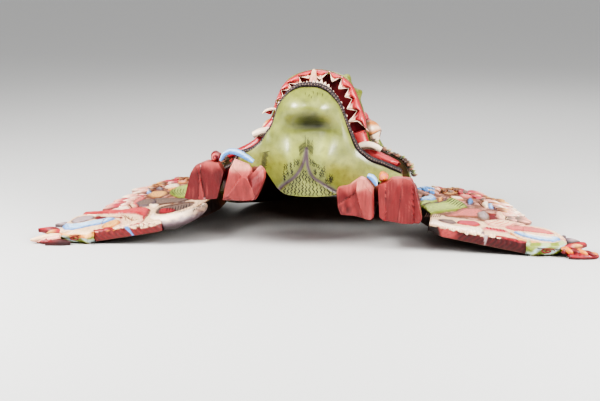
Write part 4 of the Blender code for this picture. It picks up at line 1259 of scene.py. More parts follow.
@dataclass
class RedLobes:
    """Four chunky lobes at the cheeks, cut with flat chisel strokes, with the ribbons and curls on them."""

    spacing: float = 1.1
    facet_mm: float = 12.0
    facet_tilt: float = 0.24

    def build(self) -> None:
        """Builds the lobes, the blue ribbons and the two curls."""
        for shape in LOBES:
            self.lobe(shape)
        self.ribbons()
        self.curls()

    def lobe(self, shape: LobeShape) -> None:
        """Builds one lobe as a dense skin with flat facets."""
        outline, steps = np.array(shape.outline, float), np.array(shape.rings, float)
        middle, ring = outline.mean(axis=0), even_loop(outline, self.spacing)
        ring = 0.5 * ring + 0.25 * (np.roll(ring, 1, 0) + np.roll(ring, -1, 0))
        insets = np.linspace(0.04, 0.96, 15)
        depths = np.unique(np.concatenate([np.linspace(steps[0, 0], steps[-1, 0], 34), steps[:, 0]]))
        between = [[np.interp(y, steps[:, 0], steps[:, k]) for k in range(4)] for y in depths]
        grid = np.array([self.layer(ring, middle, steps[0], inset) for inset in insets]
                        + [self.layer(ring, middle, step, 1.0) for step in between]
                        + [self.layer(ring, middle, steps[-1], inset) for inset in (0.6, 0.25)])
        crown = 1.5 * (1 - insets ** 2)
        grid[:len(insets), :, 1] -= crown[:, None]
        points = grid.reshape(-1, 3)
        facing, tint = self.facets(points, shape)
        facing = facing * (1 - 0.75 * bump_at(points[:, 1], -18, 6))
        away = points - np.array([middle[0], 12.0, middle[1]])
        away /= np.linalg.norm(away, axis=1)[:, None]
        front = ease(-16, -22, points[:, 1])
        push = np.where(front[:, None] > 0, mix(away, np.array([0.0, -1.0, 0.0]), front), away)
        moved = points - push * np.clip(1.8 - facing, 0, 3.6)[:, None]
        crown = ease(0.2, 0.8, away[:, 2] + 0.15 * tint)
        high = points[:, 2] - shape.light_above + 3 * tint + 2 * ripple(points, 9, shape.seed + 2)
        streak = ripple(points * (1, 1, 0.12), 3.1, shape.seed + 5)
        # painted light: lighter above light_above and on facets that face up (crown); painted shade: darker towards the
        # back; cream on the highest parts, partly wear and partly painted light
        paint = coats(LOBE, (LOBE_LIGHT, 0.24 * shape.worn + 0.28 * np.clip(tint, 0, 1)),
            (LOBE_DARK, np.clip(-tint, 0, 1) * 0.75),
            (LOBE_LIGHT, 0.75 * ease(shape.light_above - 9, shape.light_above + 3,
                                     points[:, 2] + 3 * ripple(points, 14, shape.seed))),
            (LOBE_DARK, 0.75 * ease(6, 34, points[:, 1])),
            (LOBE_LIGHT, (0.25 + 0.3 * shape.worn) * crown),
            (CREAM_PINK, shape.worn * ease(-2, 5, high)),
            (LOBE_DARK, 0.22 * ease(0.2, 0.9, streak)),
            (LOBE_LIGHT, 0.22 * ease(0.3, 1.0, -streak)))
        if shape.name == "lobe_inner_right":
            stain = np.exp(-((points[:, 0] - 39) / 8) ** 2 - ((points[:, 2] - 43) / 6) ** 2)
            paint = mix(paint, WALL_DARK, 0.9 * stain * ease(-0.4, 0.5, ripple(points, 7, 3)))
        label = shape.name.replace("lobe", "chiselled_lobe")
        piece = make_piece(label, moved, tube_faces(*grid.shape[:2]), LOBE_PAINT, paint, sharp=14.0)
        dress(piece, "lobe_red", shape.name)

    def layer(self, ring: Array, middle: Array, step: Sequence[float], inset: float) -> Array:
        """One ring of the lobe, moved and sized as its step says."""
        y, shift_x, shift_z, scale = step
        flat = middle + (shift_x, shift_z) + (ring - middle) * scale * inset
        return join(flat[:, 0], y, flat[:, 1])

    def facets(self, points: Array, shape: LobeShape) -> tuple[Array, Array]:
        """Flat chisel cuts: each point takes the tilted plane of its nearest cut.

        Args:
            points: The lobe's points.
            shape: The lobe, whose cut is long where its number is small.

        Returns:
            Height of each point's cut in mm, and a tint from -1 to 1.
        """
        rng = np.random.default_rng(shape.seed)
        metric = np.array(shape.cut)
        low, high = points.min(axis=0), points.max(axis=0)
        count = max(24, int(np.prod((high - low) * metric) ** (2 / 3) / self.facet_mm ** 2 * 3.2))
        seeds = rng.uniform(low, high, (count, 3))
        seeds = seeds[np.argsort(((seeds - points.mean(axis=0)) ** 2).sum(axis=1))]
        tilts = rng.normal(0, self.facet_tilt, (count, 3)) * metric
        tints = rng.uniform(-1, 1, count)
        gap = (((points[:, None, :] - seeds[None]) * metric) ** 2).sum(axis=2)
        nearest = gap.argmin(axis=1)
        height = ((points - seeds[nearest]) * tilts[nearest]).sum(axis=1)
        closest = np.sqrt(np.partition(gap, 1, axis=1)[:, :2])
        # borders between cuts turn lighter or darker with their facet's tint: partly wear, partly painted highlight and
        # shade
        worn = np.exp(-((closest[:, 1] - closest[:, 0]) / 0.5) ** 2)
        return np.clip(height, -1.8, 1.8), np.clip(tints[nearest] * 0.8 + worn * np.sign(tints[nearest]) * 0.9, -1, 1)

    def ribbons(self) -> None:
        """Builds the light blue ribbons that cross the lobes' tops."""
        half = 2.6
        for name, path in (("left", [(-84, 88.5), (-80.5, 94.5), (-76, 97.0), (-69, 96.8), (-60, 92.5), (-52, 87.5)]),
                           ("right", [(60.5, 76.2), (64.5, 74.4), (68.0, 70.5), (69.4, 67.0)])):
            line = line_through(path, 0.8)
            out = directions(line)[1]
            share = np.sin(np.linspace(0.25, math.pi - 0.25, len(line))) ** 0.5
            t = np.broadcast_to(np.linspace(-1, 1, 11)[:, None], (11, len(line)))
            x, z = line[:, 0] + out[:, 0] * t * half * share, line[:, 1] + out[:, 1] * t * half * share
            paint = coats(BLUE, (BLUE_LIGHT, 0.85 * ease(0.1, 0.9, t)), (INK, 0.5 * ease(0.86, 1.0, -t)))
            piece = slab_piece(f"blue_ribbon_{name}", join(x, -22.2 - 1.6 * arch(t), z), join(x, -14.8, z),
                               RELIEF_PAINT, paint, BLUE)
            dress(piece, "ribbon_blue", f"ribbon_{name}")

    def curls(self) -> None:
        """Builds the two rounded knobs, each a short snail of one turn."""
        for name, x, z, radius, root, tip in (("left", -91, 90.2, 5.2, LOBE, LOBE_LIGHT),
                                              ("right", 75.5, 73.4, 4.6, ORANGE, PINK)):
            turn, deep = np.meshgrid(np.linspace(0, math.tau, 49)[:-1], np.linspace(0, 1, 21))
            snail = radius * (1 + 0.10 * np.cos(turn * 3)) * np.sqrt(np.clip(deep * 2.2, 0.01, 1))
            y = -18.5 + 14.5 * deep - 1.2 * np.cos(turn) * (1 - deep)
            grid = join(x + snail * np.cos(turn), y, z + snail * np.sin(turn))
            paint = mix(root, tip, ease(-0.3, 0.9, np.sin(turn + 9 * snail / radius))).reshape(-1, 3)
            knob = make_piece(f"ear_knob_{name}", grid.reshape(-1, 3), tube_faces(*turn.shape), RELIEF_PAINT, paint)
            dress(knob, "curl_orange", f"ear_curl_{name}")


# ------------ wings

@dataclass(frozen=True)
class Motif:
    """One carved and painted form, closed or, with a half-width, a ridge along a line.

    Its places are |X| and Y on a sheet held over the wing and looked through from the viewer's place.
    """

    points: Points
    edge: Paint
    core: Paint
    height: float = 1.6
    bevel: float = 3.0
    half: float = 0.0


class Side(Enum):
    """Which wing, with the sign of its X."""

    LEFT = -1
    RIGHT = 1

    @property
    def label(self) -> str:
        """The side's name in lower case."""
        return self.name.lower()


VIEWER = (141.5, -1217.9, 284.5)
SHEET_LEVELS = ((100, 41), (119, 38), (144, 32), (176, 27), (203, 22.5), (240, 18))
CROWN_EDGE = {
    Side.RIGHT: ((99.1, 112), (112, 126), (127, 137), (149, 149), (165, 147), (180, 136), (192, 124), (201, 100),
                 (209, 74), (214, 58), (217, 45)),
    Side.LEFT: ((99.1, 184), (113, 197), (133, 207), (155, 210), (173, 204), (190, 194), (203, 177), (211, 155),
                (215, 125), (217, 92), (218, 68), (217, 56)),
}
BOARD_REST = {
    Side.RIGHT: ((214, 43.5), (214, -20), (118, -20), (118, 14), (108, 34), (99.1, 60)),
    Side.LEFT: ((214, 54), (214, -20), (149, -20), (144, -17), (143, -7), (130, 0), (119, 9), (113, 25), (106, 40),
                (99.1, 60)),
}
BULB_OUTLINE = {
    Side.RIGHT: ((215, -20.5), (228, -23), (244, -21), (254, -9), (252, 8), (241, 27), (228, 39), (216, 42.5)),
    Side.LEFT: ((215, -20.5), (229, -24), (245, -23), (254, -11), (253, 12), (250, 34), (243, 46), (232, 52),
                (216, 54)),
}
TIP_OUTLINE = {
    Side.RIGHT: ((254.6, -26), (266, -30), (283, -25), (283, -17), (274, -13), (270, -4), (262, 3), (254.6, 2)),
    Side.LEFT: ((254.6, -26), (264, -29), (275, -23), (277, -16), (271, -11), (268, -2), (262, 5), (254.6, 3)),
}
MOTIFS = {
    Side.RIGHT: (
        Motif(((100, 20), (100, 130), (130, 150), (165, 150), (198, 130), (222, 60), (214, 20), (150, 0)),
              BROWN_DARK, BROWN, 0.4, 5),
        Motif(((100, -60), (100, -10), (160, 14), (256, 20), (256, -60)), BROWN, CREAM, 0.2, 4),
        Motif(((110, 35), (114, 58), (125, 76), (128, 66), (120, 46), (112, 24)), LEAF, LEAF_LIGHT, 1.4),
        Motif(((140, 102), (150, 98), (158, 80), (158, 60), (145, 38), (128, 5), (115, -18), (113, 25), (127, 57),
              (136, 80)), LEAF, LEAF_LIGHT, 2.4, 6),
        Motif(((110, 62), (119, 92), (126, 82), (123, 64), (113, 54)), BLUE, BLUE_LIGHT, 2.2),
        Motif(((112, 74), (113, 84), (118, 84), (117, 74)), BROWN_DARK, BROWN, 2.8, 1.5),
        Motif(((129, 66), (128, 84), (131, 98), (133, 82)), ORANGE, ORANGE_LIGHT, 1.6, 2),
        Motif(((112, 122), (113, 136), (120, 142), (123, 126), (117, 118)), BLUE_LIGHT, TOOTH, 2.2),
        Motif(((125, 128), (126, 150), (129, 152), (131, 134)), CREAM, TOOTH, 2.6, 2),
        Motif(((132, 120), (133, 140), (147, 160), (153, 152), (147, 132), (140, 118)), BROWN, ORANGE_LIGHT, 2.0, 4),
        Motif(((151, 130), (152, 146), (165, 158), (170, 147), (165, 132), (156, 121)), PINK, CREAM_PINK, 2.0, 4),
        Motif(((141, 112), (150, 118), (156, 110), (150, 102), (142, 102)), ORANGE, TOOTH, 2.0, 2.5),
        Motif(((160, 84), (159, 104), (162, 124), (166, 110), (165, 92)), MAUVE, BLUE, 2.2, 2),
        Motif(((175, 118), (175, 138), (185, 148), (195, 136), (198, 120), (187, 111)), BROWN, ORANGE_LIGHT, 1.8, 4),
        Motif(((176, 90), (175, 108), (180, 117), (183, 104), (181, 88)), CREAM, TOOTH, 2.8, 2.5),
        Motif(((181, 90), (182, 108), (185, 118), (188, 104), (186, 88)), BLUE, BLUE_LIGHT, 2.8, 2.5),
        Motif(((188, 84), (188, 98), (193, 102), (196, 94), (194, 84)), MAUVE, MAUVE_LIGHT, 1.6, 2.5),
        Motif(((197, 98), (198, 116), (205, 116), (213, 92), (206, 84)), GREY_BROWN, CREAM_PINK, 1.6, 4),
        Motif(((156, 62), (172, 72), (178, 56), (171, 30), (155, 19), (142, 6), (136, 8), (146, 36)), BROWN, PINK,
              1.4, 5),
        Motif(((169, 48), (176, 60), (181, 46), (180, 26), (171, 22)), GREY_BROWN, MAUVE_LIGHT, 2.6, 4),
        Motif(((181, 62), (188, 66), (190, 48), (186, 31), (182, 27), (182, 44)), MOUTH, WALL, -1.2, 2),
        Motif(((191, 80), (210, 84), (223, 60), (226, 38), (210, 28), (198, 32), (190, 48)), CREAM_PINK, CREAM, 1.6,
              5),
        Motif(((176, 14), (188, 32), (208, 38), (202, 16), (184, -2)), CREAM_PINK, CREAM, 1.8, 4),
        Motif(((206, -6), (212, 28), (232, 32), (250, 18), (254, -12), (242, -16)), CREAM_PINK, CREAM, 0.8, 3),
        Motif(((197, 10), (218, 24), (238, 18), (242, 4), (222, 1), (202, -2)), ROSE, PINK, 1.4, 3),
        Motif(((200, -10), (208, -30), (230, -38), (252, -24), (254, -46), (230, -54), (204, -46)), ORANGE,
              ORANGE_LIGHT, 0.6, 5),
        Motif(((205, -8), (224, -11), (242, -8), (248, -17), (240, -29), (222, -30), (208, -20)), BLUE, BLUE_LIGHT,
              1.6, 3.5),
        Motif(((214, -12), (226, -14), (238, -12), (240, -18), (226, -21), (216, -18)), BLUE_LIGHT, TOOTH, 1.9, 2),
        Motif(((116, -50), (126, -26), (140, -33), (158, -26), (172, -17), (174, -32), (170, -62), (140, -64)),
              CREAM, TOOTH, 1.0, 3),
        Motif(((174, -28), (196, -26), (206, -36), (200, -62), (176, -62)), CREAM_PINK, CREAM, 1.0, 3),
        Motif(((150, -4), (165, 6), (171, -4), (166, -16), (150, -18)), LIP, ROSE, 1.2, 2.5),
        Motif(((131, -20), (142, -9), (148, -17), (143, -26), (134, -27)), MAUVE, GREY_BROWN, 1.4, 2.5),
        Motif(((175, -13), (195, -9), (197, -22), (176, -25)), CREAM_PINK, ROSE, 1.0, 2.5),
        Motif(((173, -34), (175, -60), (170, -60)), MAUVE, MAUVE_LIGHT, 1.4, 2),
    ),
    Side.LEFT: (
        Motif(((100, 50), (100, 195), (150, 215), (200, 205), (226, 140), (222, 60), (160, 40)), BROWN_DARK, BROWN,
              0.4, 5),
        Motif(((100, -60), (100, 40), (160, 50), (256, 40), (256, -60)), BROWN, CREAM, 0.2, 4),
        Motif(((172, 146), (160, 160), (140, 170), (110, 160), (106, 80), (140, 70), (150, 80), (163, 104),
               (170, 124)), LEAF, LEAF_LIGHT, 2.0, 6),
        Motif(((193, 216), (181, 206), (182, 187), (192, 192), (197, 206)), CREAM_PINK, TOOTH, 2.0, 3),
        Motif(((216, 206), (203, 194), (197, 175), (207, 170), (217, 188)), BROWN, ORANGE, 2.0, 4),
        Motif(((178, 216), (167, 206), (163, 182), (172, 184), (181, 200)), ORANGE, CREAM_PINK, 2.0, 3),
        Motif(((226, 174), (216, 164), (207, 138), (204, 122), (214, 132), (225, 156)), ROSE, MAUVE_LIGHT, 1.6, 2.5),
        Motif(((193, 178), (187, 165), (182, 145), (190, 154), (196, 168)), MAUVE, MAUVE_LIGHT, 2.0, 3),
        Motif(((183, 178), (170, 174), (166, 157), (177, 154), (185, 166)), CREAM, TOOTH, 2.4, 3),
        Motif(((175, 153), (167, 148), (169, 137), (176, 142)), ORANGE, ORANGE_LIGHT, 2.0, 2.5),
        Motif(((195, 143), (180, 140), (170, 120), (172, 97), (185, 102), (196, 124)), BROWN, ORANGE_LIGHT, 1.6, 4),
        Motif(((213, 171), (204, 168), (197, 150), (194, 134), (204, 142), (211, 155)), BLUE, BLUE_LIGHT, 3.0, 3),
        Motif(((226, 138), (205, 122), (197, 102), (191, 72), (190, 50), (200, 58), (216, 98)), PINK, CREAM, 1.8, 4),
        Motif(((228, 140), (223, 112), (208, 80), (194, 46), (206, 44), (222, 58), (228, 100)), CREAM_PINK, TOOTH,
              2.2, 3.5),
        Motif(((203, 120), (193, 108), (193, 80), (189, 58), (197, 70), (202, 94)), LIP_LIGHT, PINK, 2.2, 2.5),
        Motif(((180, 96), (160, 86), (138, 66), (134, 50), (150, 50), (172, 56)), BROWN_DARK, GREY_BROWN, 1.0, 4),
        Motif(((193, 88), (182, 90), (172, 70), (175, 49), (187, 56), (195, 72)), MAUVE, GREY_BROWN, 2.4, 3.5),
        Motif(((175, 56), (165, 51), (163, 40), (172, 42)), CREAM, TOOTH, 1.8, 2),
        Motif(((158, 44), (136, 48), (122, 30), (122, 4), (138, -10), (154, -2), (161, 24)), BROWN_DARK, GREY_BROWN,
              -1.6, 3),
        Motif(((158, 32), (146, 28), (137, 8), (147, 2), (157, 14)), MOUTH, LIP, -0.8, 3),
        Motif(((244, 32), (231, 34), (226, 14), (240, -2), (248, 12)), MAUVE, MAUVE_LIGHT, 0.8, 2.5),
        Motif(((240, 40), (226, 28), (212, 14)), CREAM, TOOTH, 1.8, 2, 2.6),
        Motif(((226, 26), (214, 22), (207, 8), (222, 12)), MOUTH, WALL, -0.8, 2),
        Motif(((248, 50), (238, 60), (224, 56), (202, 43), (182, 41), (167, 22), (160, -40), (165, -20), (174, 4),
              (190, 20), (206, 28), (225, 38), (240, 40)), LIP, LIP_LIGHT, 2.6, 4),
        Motif(((198, 22), (182, 12), (168, -8), (160, -46), (176, -60), (184, -34), (192, -4)), CREAM_PINK, CREAM,
              1.2, 3),
        Motif(((210, 16), (196, 6), (189, -6)), MOUTH, WALL, 1.0, 2, 1.6),
        Motif(((196, -30), (212, -26), (236, -40), (252, -32), (252, -60), (190, -60)), ORANGE_LIGHT, CREAM, 0.8, 4),
        Motif(((202, -14), (190, -14), (186, -40), (196, -50), (203, -32)), ORANGE, ORANGE_LIGHT, 1.4, 3),
        Motif(((249, -8), (234, -6), (217, 4), (207, 9), (199, 1), (205, -18), (218, -28), (231, -38), (244, -28)),
              BLUE, BLUE_LIGHT, 1.8, 5),
    ),
}


@dataclass
class Relief:
    """A flat carving: dense top skin over an outline, walls down from its edge, and a flat underside."""

    outline: Array
    place: Callable[[Array, Array, Array], Array]
    pitch: float = 0.9
    wall_rows: int = 10

    def mesh(self, name: str, top: Callable, wall: Callable, under: Paint) -> Thing:
        """Builds the carving.

        Args:
            name: The piece's name.
            top: For points and their distances from the edge, their heights and colours.
            wall: For edge points, edge heights and a share down the wall: points, heights and colours.
            under: Colour of its underside.

        Returns:
            The new object.
        """
        edge = even_loop(self.outline, self.pitch)
        low, high = edge.min(axis=0), edge.max(axis=0)
        gx, gy = np.meshgrid(np.arange(low[0], high[0], self.pitch), np.arange(low[1], high[1], self.pitch))
        inner = join(gx.ravel() + 0.17, gy.ravel() + 0.13)
        inner = inner[inside_distance(inner, edge) > 0.6 * self.pitch]
        count = len(edge)
        loop = [(i, (i + 1) % count) for i in range(count)]
        made = geometry.delaunay_2d_cdt([Vector(p) for p in np.concatenate([edge, inner])], loop, [], 1, 1e-6)
        plan = np.array([tuple(v) for v in made[0]])
        where = {old: new for new, olds in enumerate(made[3]) for old in olds}
        border = [where[i] for i in range(count)]
        depth = np.maximum(inside_distance(plan, edge), 0)
        depth[border] = 0
        z, paint = top(plan, depth)
        points, colours = [self.place(plan[:, 0], plan[:, 1], z)], [paint]
        faces = [list(f) for f in made[2]]
        previous, total = border, len(plan)
        for k in range(1, self.wall_rows + 1):
            moved, height, paint = wall(edge, z[border], k / self.wall_rows)
            points.append(self.place(moved[:, 0], moved[:, 1], height))
            colours.append(paint)
            row = list(range(total, total + count))
            faces += [[previous[i], previous[(i + 1) % count], row[(i + 1) % count], row[i]] for i in range(count)]
            previous, total = row, total + count
        colours[-1] = np.broadcast_to(under.rgb, (count, 3))
        faces.append(previous)
        return make_piece(name, np.concatenate(points), faces, RELIEF_PAINT, np.concatenate(colours), sharp=50.0)


def outward(edge: Array) -> Array:
    """Unit directions out of a closed outline at its points."""
    run = np.roll(edge, -3, 0) - np.roll(edge, 3, 0)
    run /= np.maximum(np.linalg.norm(run, axis=1), 1e-9)[:, None]
    out = join(run[:, 1], -run[:, 0])
    area = 0.5 * np.sum(edge[:, 0] * np.roll(edge[:, 1], -1) - np.roll(edge[:, 0], -1) * edge[:, 1])
    return out if area > 0 else -out


class Flame(Enum):
    """Root and tip paints of the border's carved flames."""

    BROWN = (Paint.BROWN, Paint.ORANGE_LIGHT)
    CREAM = (Paint.CREAM_PINK, Paint.TOOTH)
    PINK = (Paint.ROSE, Paint.CREAM_PINK)
    MAUVE = (Paint.GREY_BROWN, Paint.CREAM_PINK)
    BLUE = (Paint.BLUE, Paint.BLUE_LIGHT)


FLAME_ZONES = {  # largest |X| of each stretch of the crown edge, and its paint
    Side.RIGHT: ((121, Flame.BLUE), (131, Flame.CREAM), (151, Flame.BROWN), (171, Flame.PINK), (188, Flame.BROWN),
                 (204, Flame.CREAM), (211, Flame.MAUVE), (240, Flame.CREAM)),
    Side.LEFT: ((135, Flame.BROWN), (150, Flame.PINK), (166, Flame.BROWN), (181, Flame.PINK), (196, Flame.BROWN),
                (207, Flame.CREAM), (214, Flame.PINK), (240, Flame.CREAM)),
}
SPIKES = {  # |X| of each hanging spike and its length as a share of the model's
    Side.RIGHT: ((136, 0.3), (143, 0.5), (150, 0.4), (157, 0.6), (164, 0.45), (183, 0.28), (188.5, 0.22)),
    Side.LEFT: ((154, 0.3), (160, 0.35), (165, 0.45), (170, 0.3), (186, 0.2), (193, 0.22)),
}
HORN = (  # |X|, Y and radius along the horn, from its thin end over the crown side round to the front
    (158, 47, 1.4), (145, 53, 1.7), (128, 52, 2.1), (115, 43, 2.7), (110, 25, 3.8), (115, 8, 5.4), (126, -4, 7.2),
    (139, -9, 8.2), (150, -6, 6.6), (158, 3, 4.6), (161, 16, 2.4))


@dataclass(frozen=True)
class Tongue:
    """One carved tongue of a curled tip: its root, where it points, its length and the side it bends to."""

    paints: tuple[Paint, Paint]
    at: tuple[float, float, float]
    turn: float
    length: float
    curl: int


TONGUES = {
    Side.RIGHT: (
        Tongue((WALL, LIP), (252, -12, 7.6), 8, 24, 1),
        Tongue((WALL, LIP), (258, -8, 7.0), 20, 20, 1),
        Tongue((LIP, ORANGE_LIGHT), (252, -18, 8.4), -4, 17, 1),
        Tongue((MAUVE, MAUVE_LIGHT), (250, 2, 9.5), 18, 17, -1),
        Tongue((MAUVE, MAUVE_LIGHT), (250, 10, 9.5), 40, 13, 1),
        Tongue((WALL_DARK, WALL), (256, -25, 1.6), -4, 18, 1),
    ),
    Side.LEFT: (
        Tongue((WALL, LIP), (252, -8, 7.6), 4, 29, 1),
        Tongue((WALL, LIP), (256, -1, 7.6), 14, 22, -1),
        Tongue((LIP, ORANGE_LIGHT), (250, -14, 9.0), -10, 15, -1),
        Tongue((MAUVE, MAUVE_LIGHT), (248, 12, 10.0), 28, 17, -1),
        Tongue((MAUVE, MAUVE_LIGHT), (248, 20, 10.0), 50, 13, 1),
        Tongue((WALL_DARK, WALL), (238, -27, 1.4), -2, 24, -1),
    ),
}


@dataclass(frozen=True)
class Stroke:
    """Brush lines side by side on a wing: the first one's places, and how far they move for each next one."""

    points: Points
    radius: float
    paint: Paint
    count: int = 1
    step: Points | tuple[float, float] = (0.0, 0.0)


STROKES = {
    Side.RIGHT: (
        Stroke(((137, 104), (135, 80), (127, 60), (117, 40), (112, 26)), 0.8, MAUVE),
        Stroke(((144, 100), (141, 84), (137, 64)), 0.4, OLIVE_DARK, 6, (2.6, -2)),
        Stroke(((117, -26), (118.5, -10)), 0.45, BROWN_DARK, 8, (2, 2.5)),
        Stroke(((208, 74), (206, 60), (198, 48), (197, 36)), 0.6, BROWN_DARK),
        Stroke(((215, 58), (211, 44), (209, 34)), 0.5, LIP),
        Stroke(((171, 110), (174, 96), (176, 84)), 0.7, BROWN_DARK),
        Stroke(((177, -11), (178, -22)), 0.6, LIP, 6, (3.2, 0)),
        Stroke(((178, 0), (184, 12), (190, 26)), 0.5, PINK, 4, ((6, 2), (6, 2), (5, 0)))),
    Side.LEFT: (
        Stroke(((221, 113), (214, 95), (202, 70), (193, 48)), 0.8, BROWN_DARK),
        Stroke(((214, 168), (207, 142), (199, 126)), 0.7, MOUTH),
        Stroke(((140, 78), (150, 104), (154, 128)), 0.4, OLIVE_DARK, 5, ((4, 4), (4, 4), (4, 3))),
        Stroke(((123, 2), (129, 38)), 0.4, INK, 9, ((3, 1), (3, 0))),
        Stroke(((196, 16), (186, -6), (180, -26)), 0.5, BROWN, 4, ((-6, -8), (-5, -8), (-4, 0)))),
}


@dataclass
class Wing:
    """One wing: a board carved in relief, a border of flames, a fringe, a bulb and a curled tip."""

    side: Side
    pivot: float = 228.0
    rise: float = 23.0
    head_x: float = 100.0
    face: float = 11.3
    slope: float = 6.0

    @property
    def left(self) -> bool:
        """Whether this is the left wing."""
        return self.side is Side.LEFT

    def place(self, x: Array, y: Array, z: Array) -> Array:
        """Turns the board's own plane and height to the mask's frame."""
        tilt = math.atan(self.rise / (self.pivot - self.head_x))
        run = np.asarray(x, float) - self.pivot
        across = self.side.value * (self.pivot + run * math.cos(tilt) + z * math.sin(tilt))
        return join(across, y, z * math.cos(tilt) - run * math.sin(tilt))

    def flat(self, x: Array, y: Array, z: Array) -> Array:
        """Place of a piece that lies on the ground plane."""
        return join(self.side.value * x, y, z)

    def sheet(self, points: Array) -> Array:
        """Where the sight line from the viewer through each point crosses the sheet over the wing."""
        eye = np.array(VIEWER)
        across, levels = np.array(SHEET_LEVELS, float).T
        ray = points - eye
        spot = points
        for _ in range(6):
            level = np.interp(np.abs(spot[..., 0]), across, levels)
            spot = eye + ray * ((level - eye[2]) / ray[..., 2])[..., None]
        return join(np.abs(spot[..., 0]), spot[..., 1])

    def build(self) -> None:
        """Builds every piece of the wing."""
        self.board()
        self.flames()
        self.spikes()
        self.drawn_lines()
        if self.left:
            self.horn()
        self.bulb()
        self.tip()

    def level(self, y: Array) -> Array:
        """Height of the board's face before it is carved: low at the front, higher at the crown."""
        return self.face + self.slope * ease(-20, 75, y)

    def carve(self, plan: Array, level: Array, placed: Callable) -> tuple[Array, Array]:
        """Cuts and paints every motif in order.

        Args:
            plan: Points of the piece's plane.
            level: Its height there before it is carved.
            placed: Turns them to the mask's frame.

        Returns:
            Height and colour at each point.
        """
        lift = 1.2
        spots = self.sheet(placed(plan[:, 0], plan[:, 1], level + lift))
        spots = spots + 0.8 * join(ripple(spots, 17, 71), ripple(spots, 17, 72))
        z = level + 0.25 * ripple(plan, 12, 31)
        paint: Tint = BROWN
        for number, motif in enumerate(MOTIFS[self.side]):
            if motif.half:
                away, share = line_distance(spots, line_through(motif.points, 3.0))
                inside = motif.half * (0.4 + 0.6 * np.sin(math.pi * np.clip(share, 0.02, 0.98))) - away
            else:
                inside = inside_distance(spots, closed_curve(motif.points))
            rise = np.clip(inside / motif.bevel, 0, 1)
            shape = np.sqrt(1 - (1 - rise) ** 2)
            target = level + motif.height + 0.15 * ripple(plan, 7, 40 + number)
            if motif.height > 0:
                target = np.maximum(target, z)
            z = z + (target - z) * shape
            fade = inside + 0.7 * ripple(spots, 9, 60 + number)
            deep = fade / motif.bevel
            own = mix(motif.edge, motif.core, 0.5 * ease(0.3, 0.45, deep) + 0.5 * ease(0.85, 1.05, deep))
            paint = mix(paint, own, ease(-0.2, 0.3, inside))
            if number == 0:
                paint = mix(paint, CREAM_PINK, 0.65 * ease(-0.3, 0.6, ripple(spots, 13, 73)))
            if motif.bevel >= 3:
                vein = bump_at(np.mod(fade, 3.0), 1.5, 0.45) * ease(0.8, 1.4, inside)
                z = z - 0.3 * vein
                paint = mix(paint, motif.edge.rgb * 0.45, 0.5 * vein)
            cut = bump_at(inside, 0, 0.6)
            z = z - 0.5 * cut
            paint = mix(paint, BROWN_DARK, 0.4 * cut)
        return z, paint

    def board_height(self, plan: Array) -> Array:
        """Height of the carved board at points of its plane."""
        return self.carve(plan, self.level(plan[:, 1]), self.place)[0]

    def board(self) -> None:
        """Builds the carved board with its chiselled red wall."""
        arc = line_through(CROWN_EDGE[self.side], 2.0)
        relief = Relief(np.concatenate([arc, np.array(BOARD_REST[self.side], float)]), self.place)

        def top(plan: Array, depth: Array) -> tuple[Array, Array]:
            """Height and colour of the top at points and their distances from the edge."""
            z, paint = self.carve(plan, self.level(plan[:, 1]), self.place)
            jag = self.wall_top(plan[:, 0]) + 1.2 * np.abs(np.sin(plan[:, 0] / 2.6)) - 0.6
            over = ease(-0.4, 0.4, jag - (plan[:, 1] + 20)) * ease(0.1, 0.6, self.wall_top(plan[:, 0]))
            paint = mix(paint, mix(WALL, LIP, 0.35 + 0.35 * ripple(plan, 5, 74)), over)
            z = z - 0.5 * over
            return z - 1.0 * fall(0, 2.0, depth) * fall(208, 212, plan[:, 0]), paint

        def wall(edge: Array, rim: Array, share: float) -> tuple[Array, Array, Array]:
            """Points, heights and colours of one row down the wall."""
            along = np.arange(len(edge)) * relief.pitch
            front = ease(-17.5, -19, edge[:, 1]) if not self.left else ease(-13, -16.5, edge[:, 1])
            scale = np.abs(np.sin(along / 5.2 * math.pi + 1.3 * np.sin(share * 5)))
            gouge = 0.9 * scale ** 0.5 * math.sin(math.pi * min(1.0, share * 1.1))
            push = (front * gouge + 0.4 * ripple(edge, 9, 5)) * min(1.0, 3 * (1 - share) + 0.2)
            moved = edge + outward(edge) * push[:, None]
            moved[:, 1] += 16.0 * fall(120, 134, moved[:, 0]) * share ** 1.5 * front
            height = rim * (1 - share)
            # painted shade in the valleys between the chisel gouges
            dark_paint_and_shade = np.clip(0.9 * (1 - scale) ** 0.7 + 0.25 * ripple(edge * (1, 0), 13, 6), 0, 1)
            red = mix(WALL, WALL_DARK, dark_paint_and_shade)
            # painted shadow (SHADOW) on the side and back walls near the front, turning brown further back
            back = mix(SHADOW, BROWN, ease(50, 90, edge[:, 1]))
            if self.left:
                red = mix(red, LIP_LIGHT, np.full(len(edge), 0.14))
            else:
                red = mix(red, WALL_DARK, 0.6 * ease(140, 160, edge[:, 0]))
            return self.front_marks(moved, height, rim, mix(back, red, front), front)

        nodes = [f"wing_{part}_{self.side.label}" for part in ("board", "leaf", "plume")]
        nodes += ["wing_band_left"] if self.left else ["wing_eye_right"]
        # the underside is painted dark brown, as painted shade under the board
        piece = relief.mesh(f"carved_wing_{self.side.label}", top, wall, BROWN_DARK)
        dress(piece, "wall_red", *nodes)

    def wall_top(self, x: Array) -> Array:
        """How far the wall's red paint reaches over the board's front edge, in mm."""
        if self.left:
            return 3.4 * ease(190, 196, x) + 1.2 * ease(150, 156, x) * fall(172, 177, x)
        return 3.6 * ease(181, 188, x)

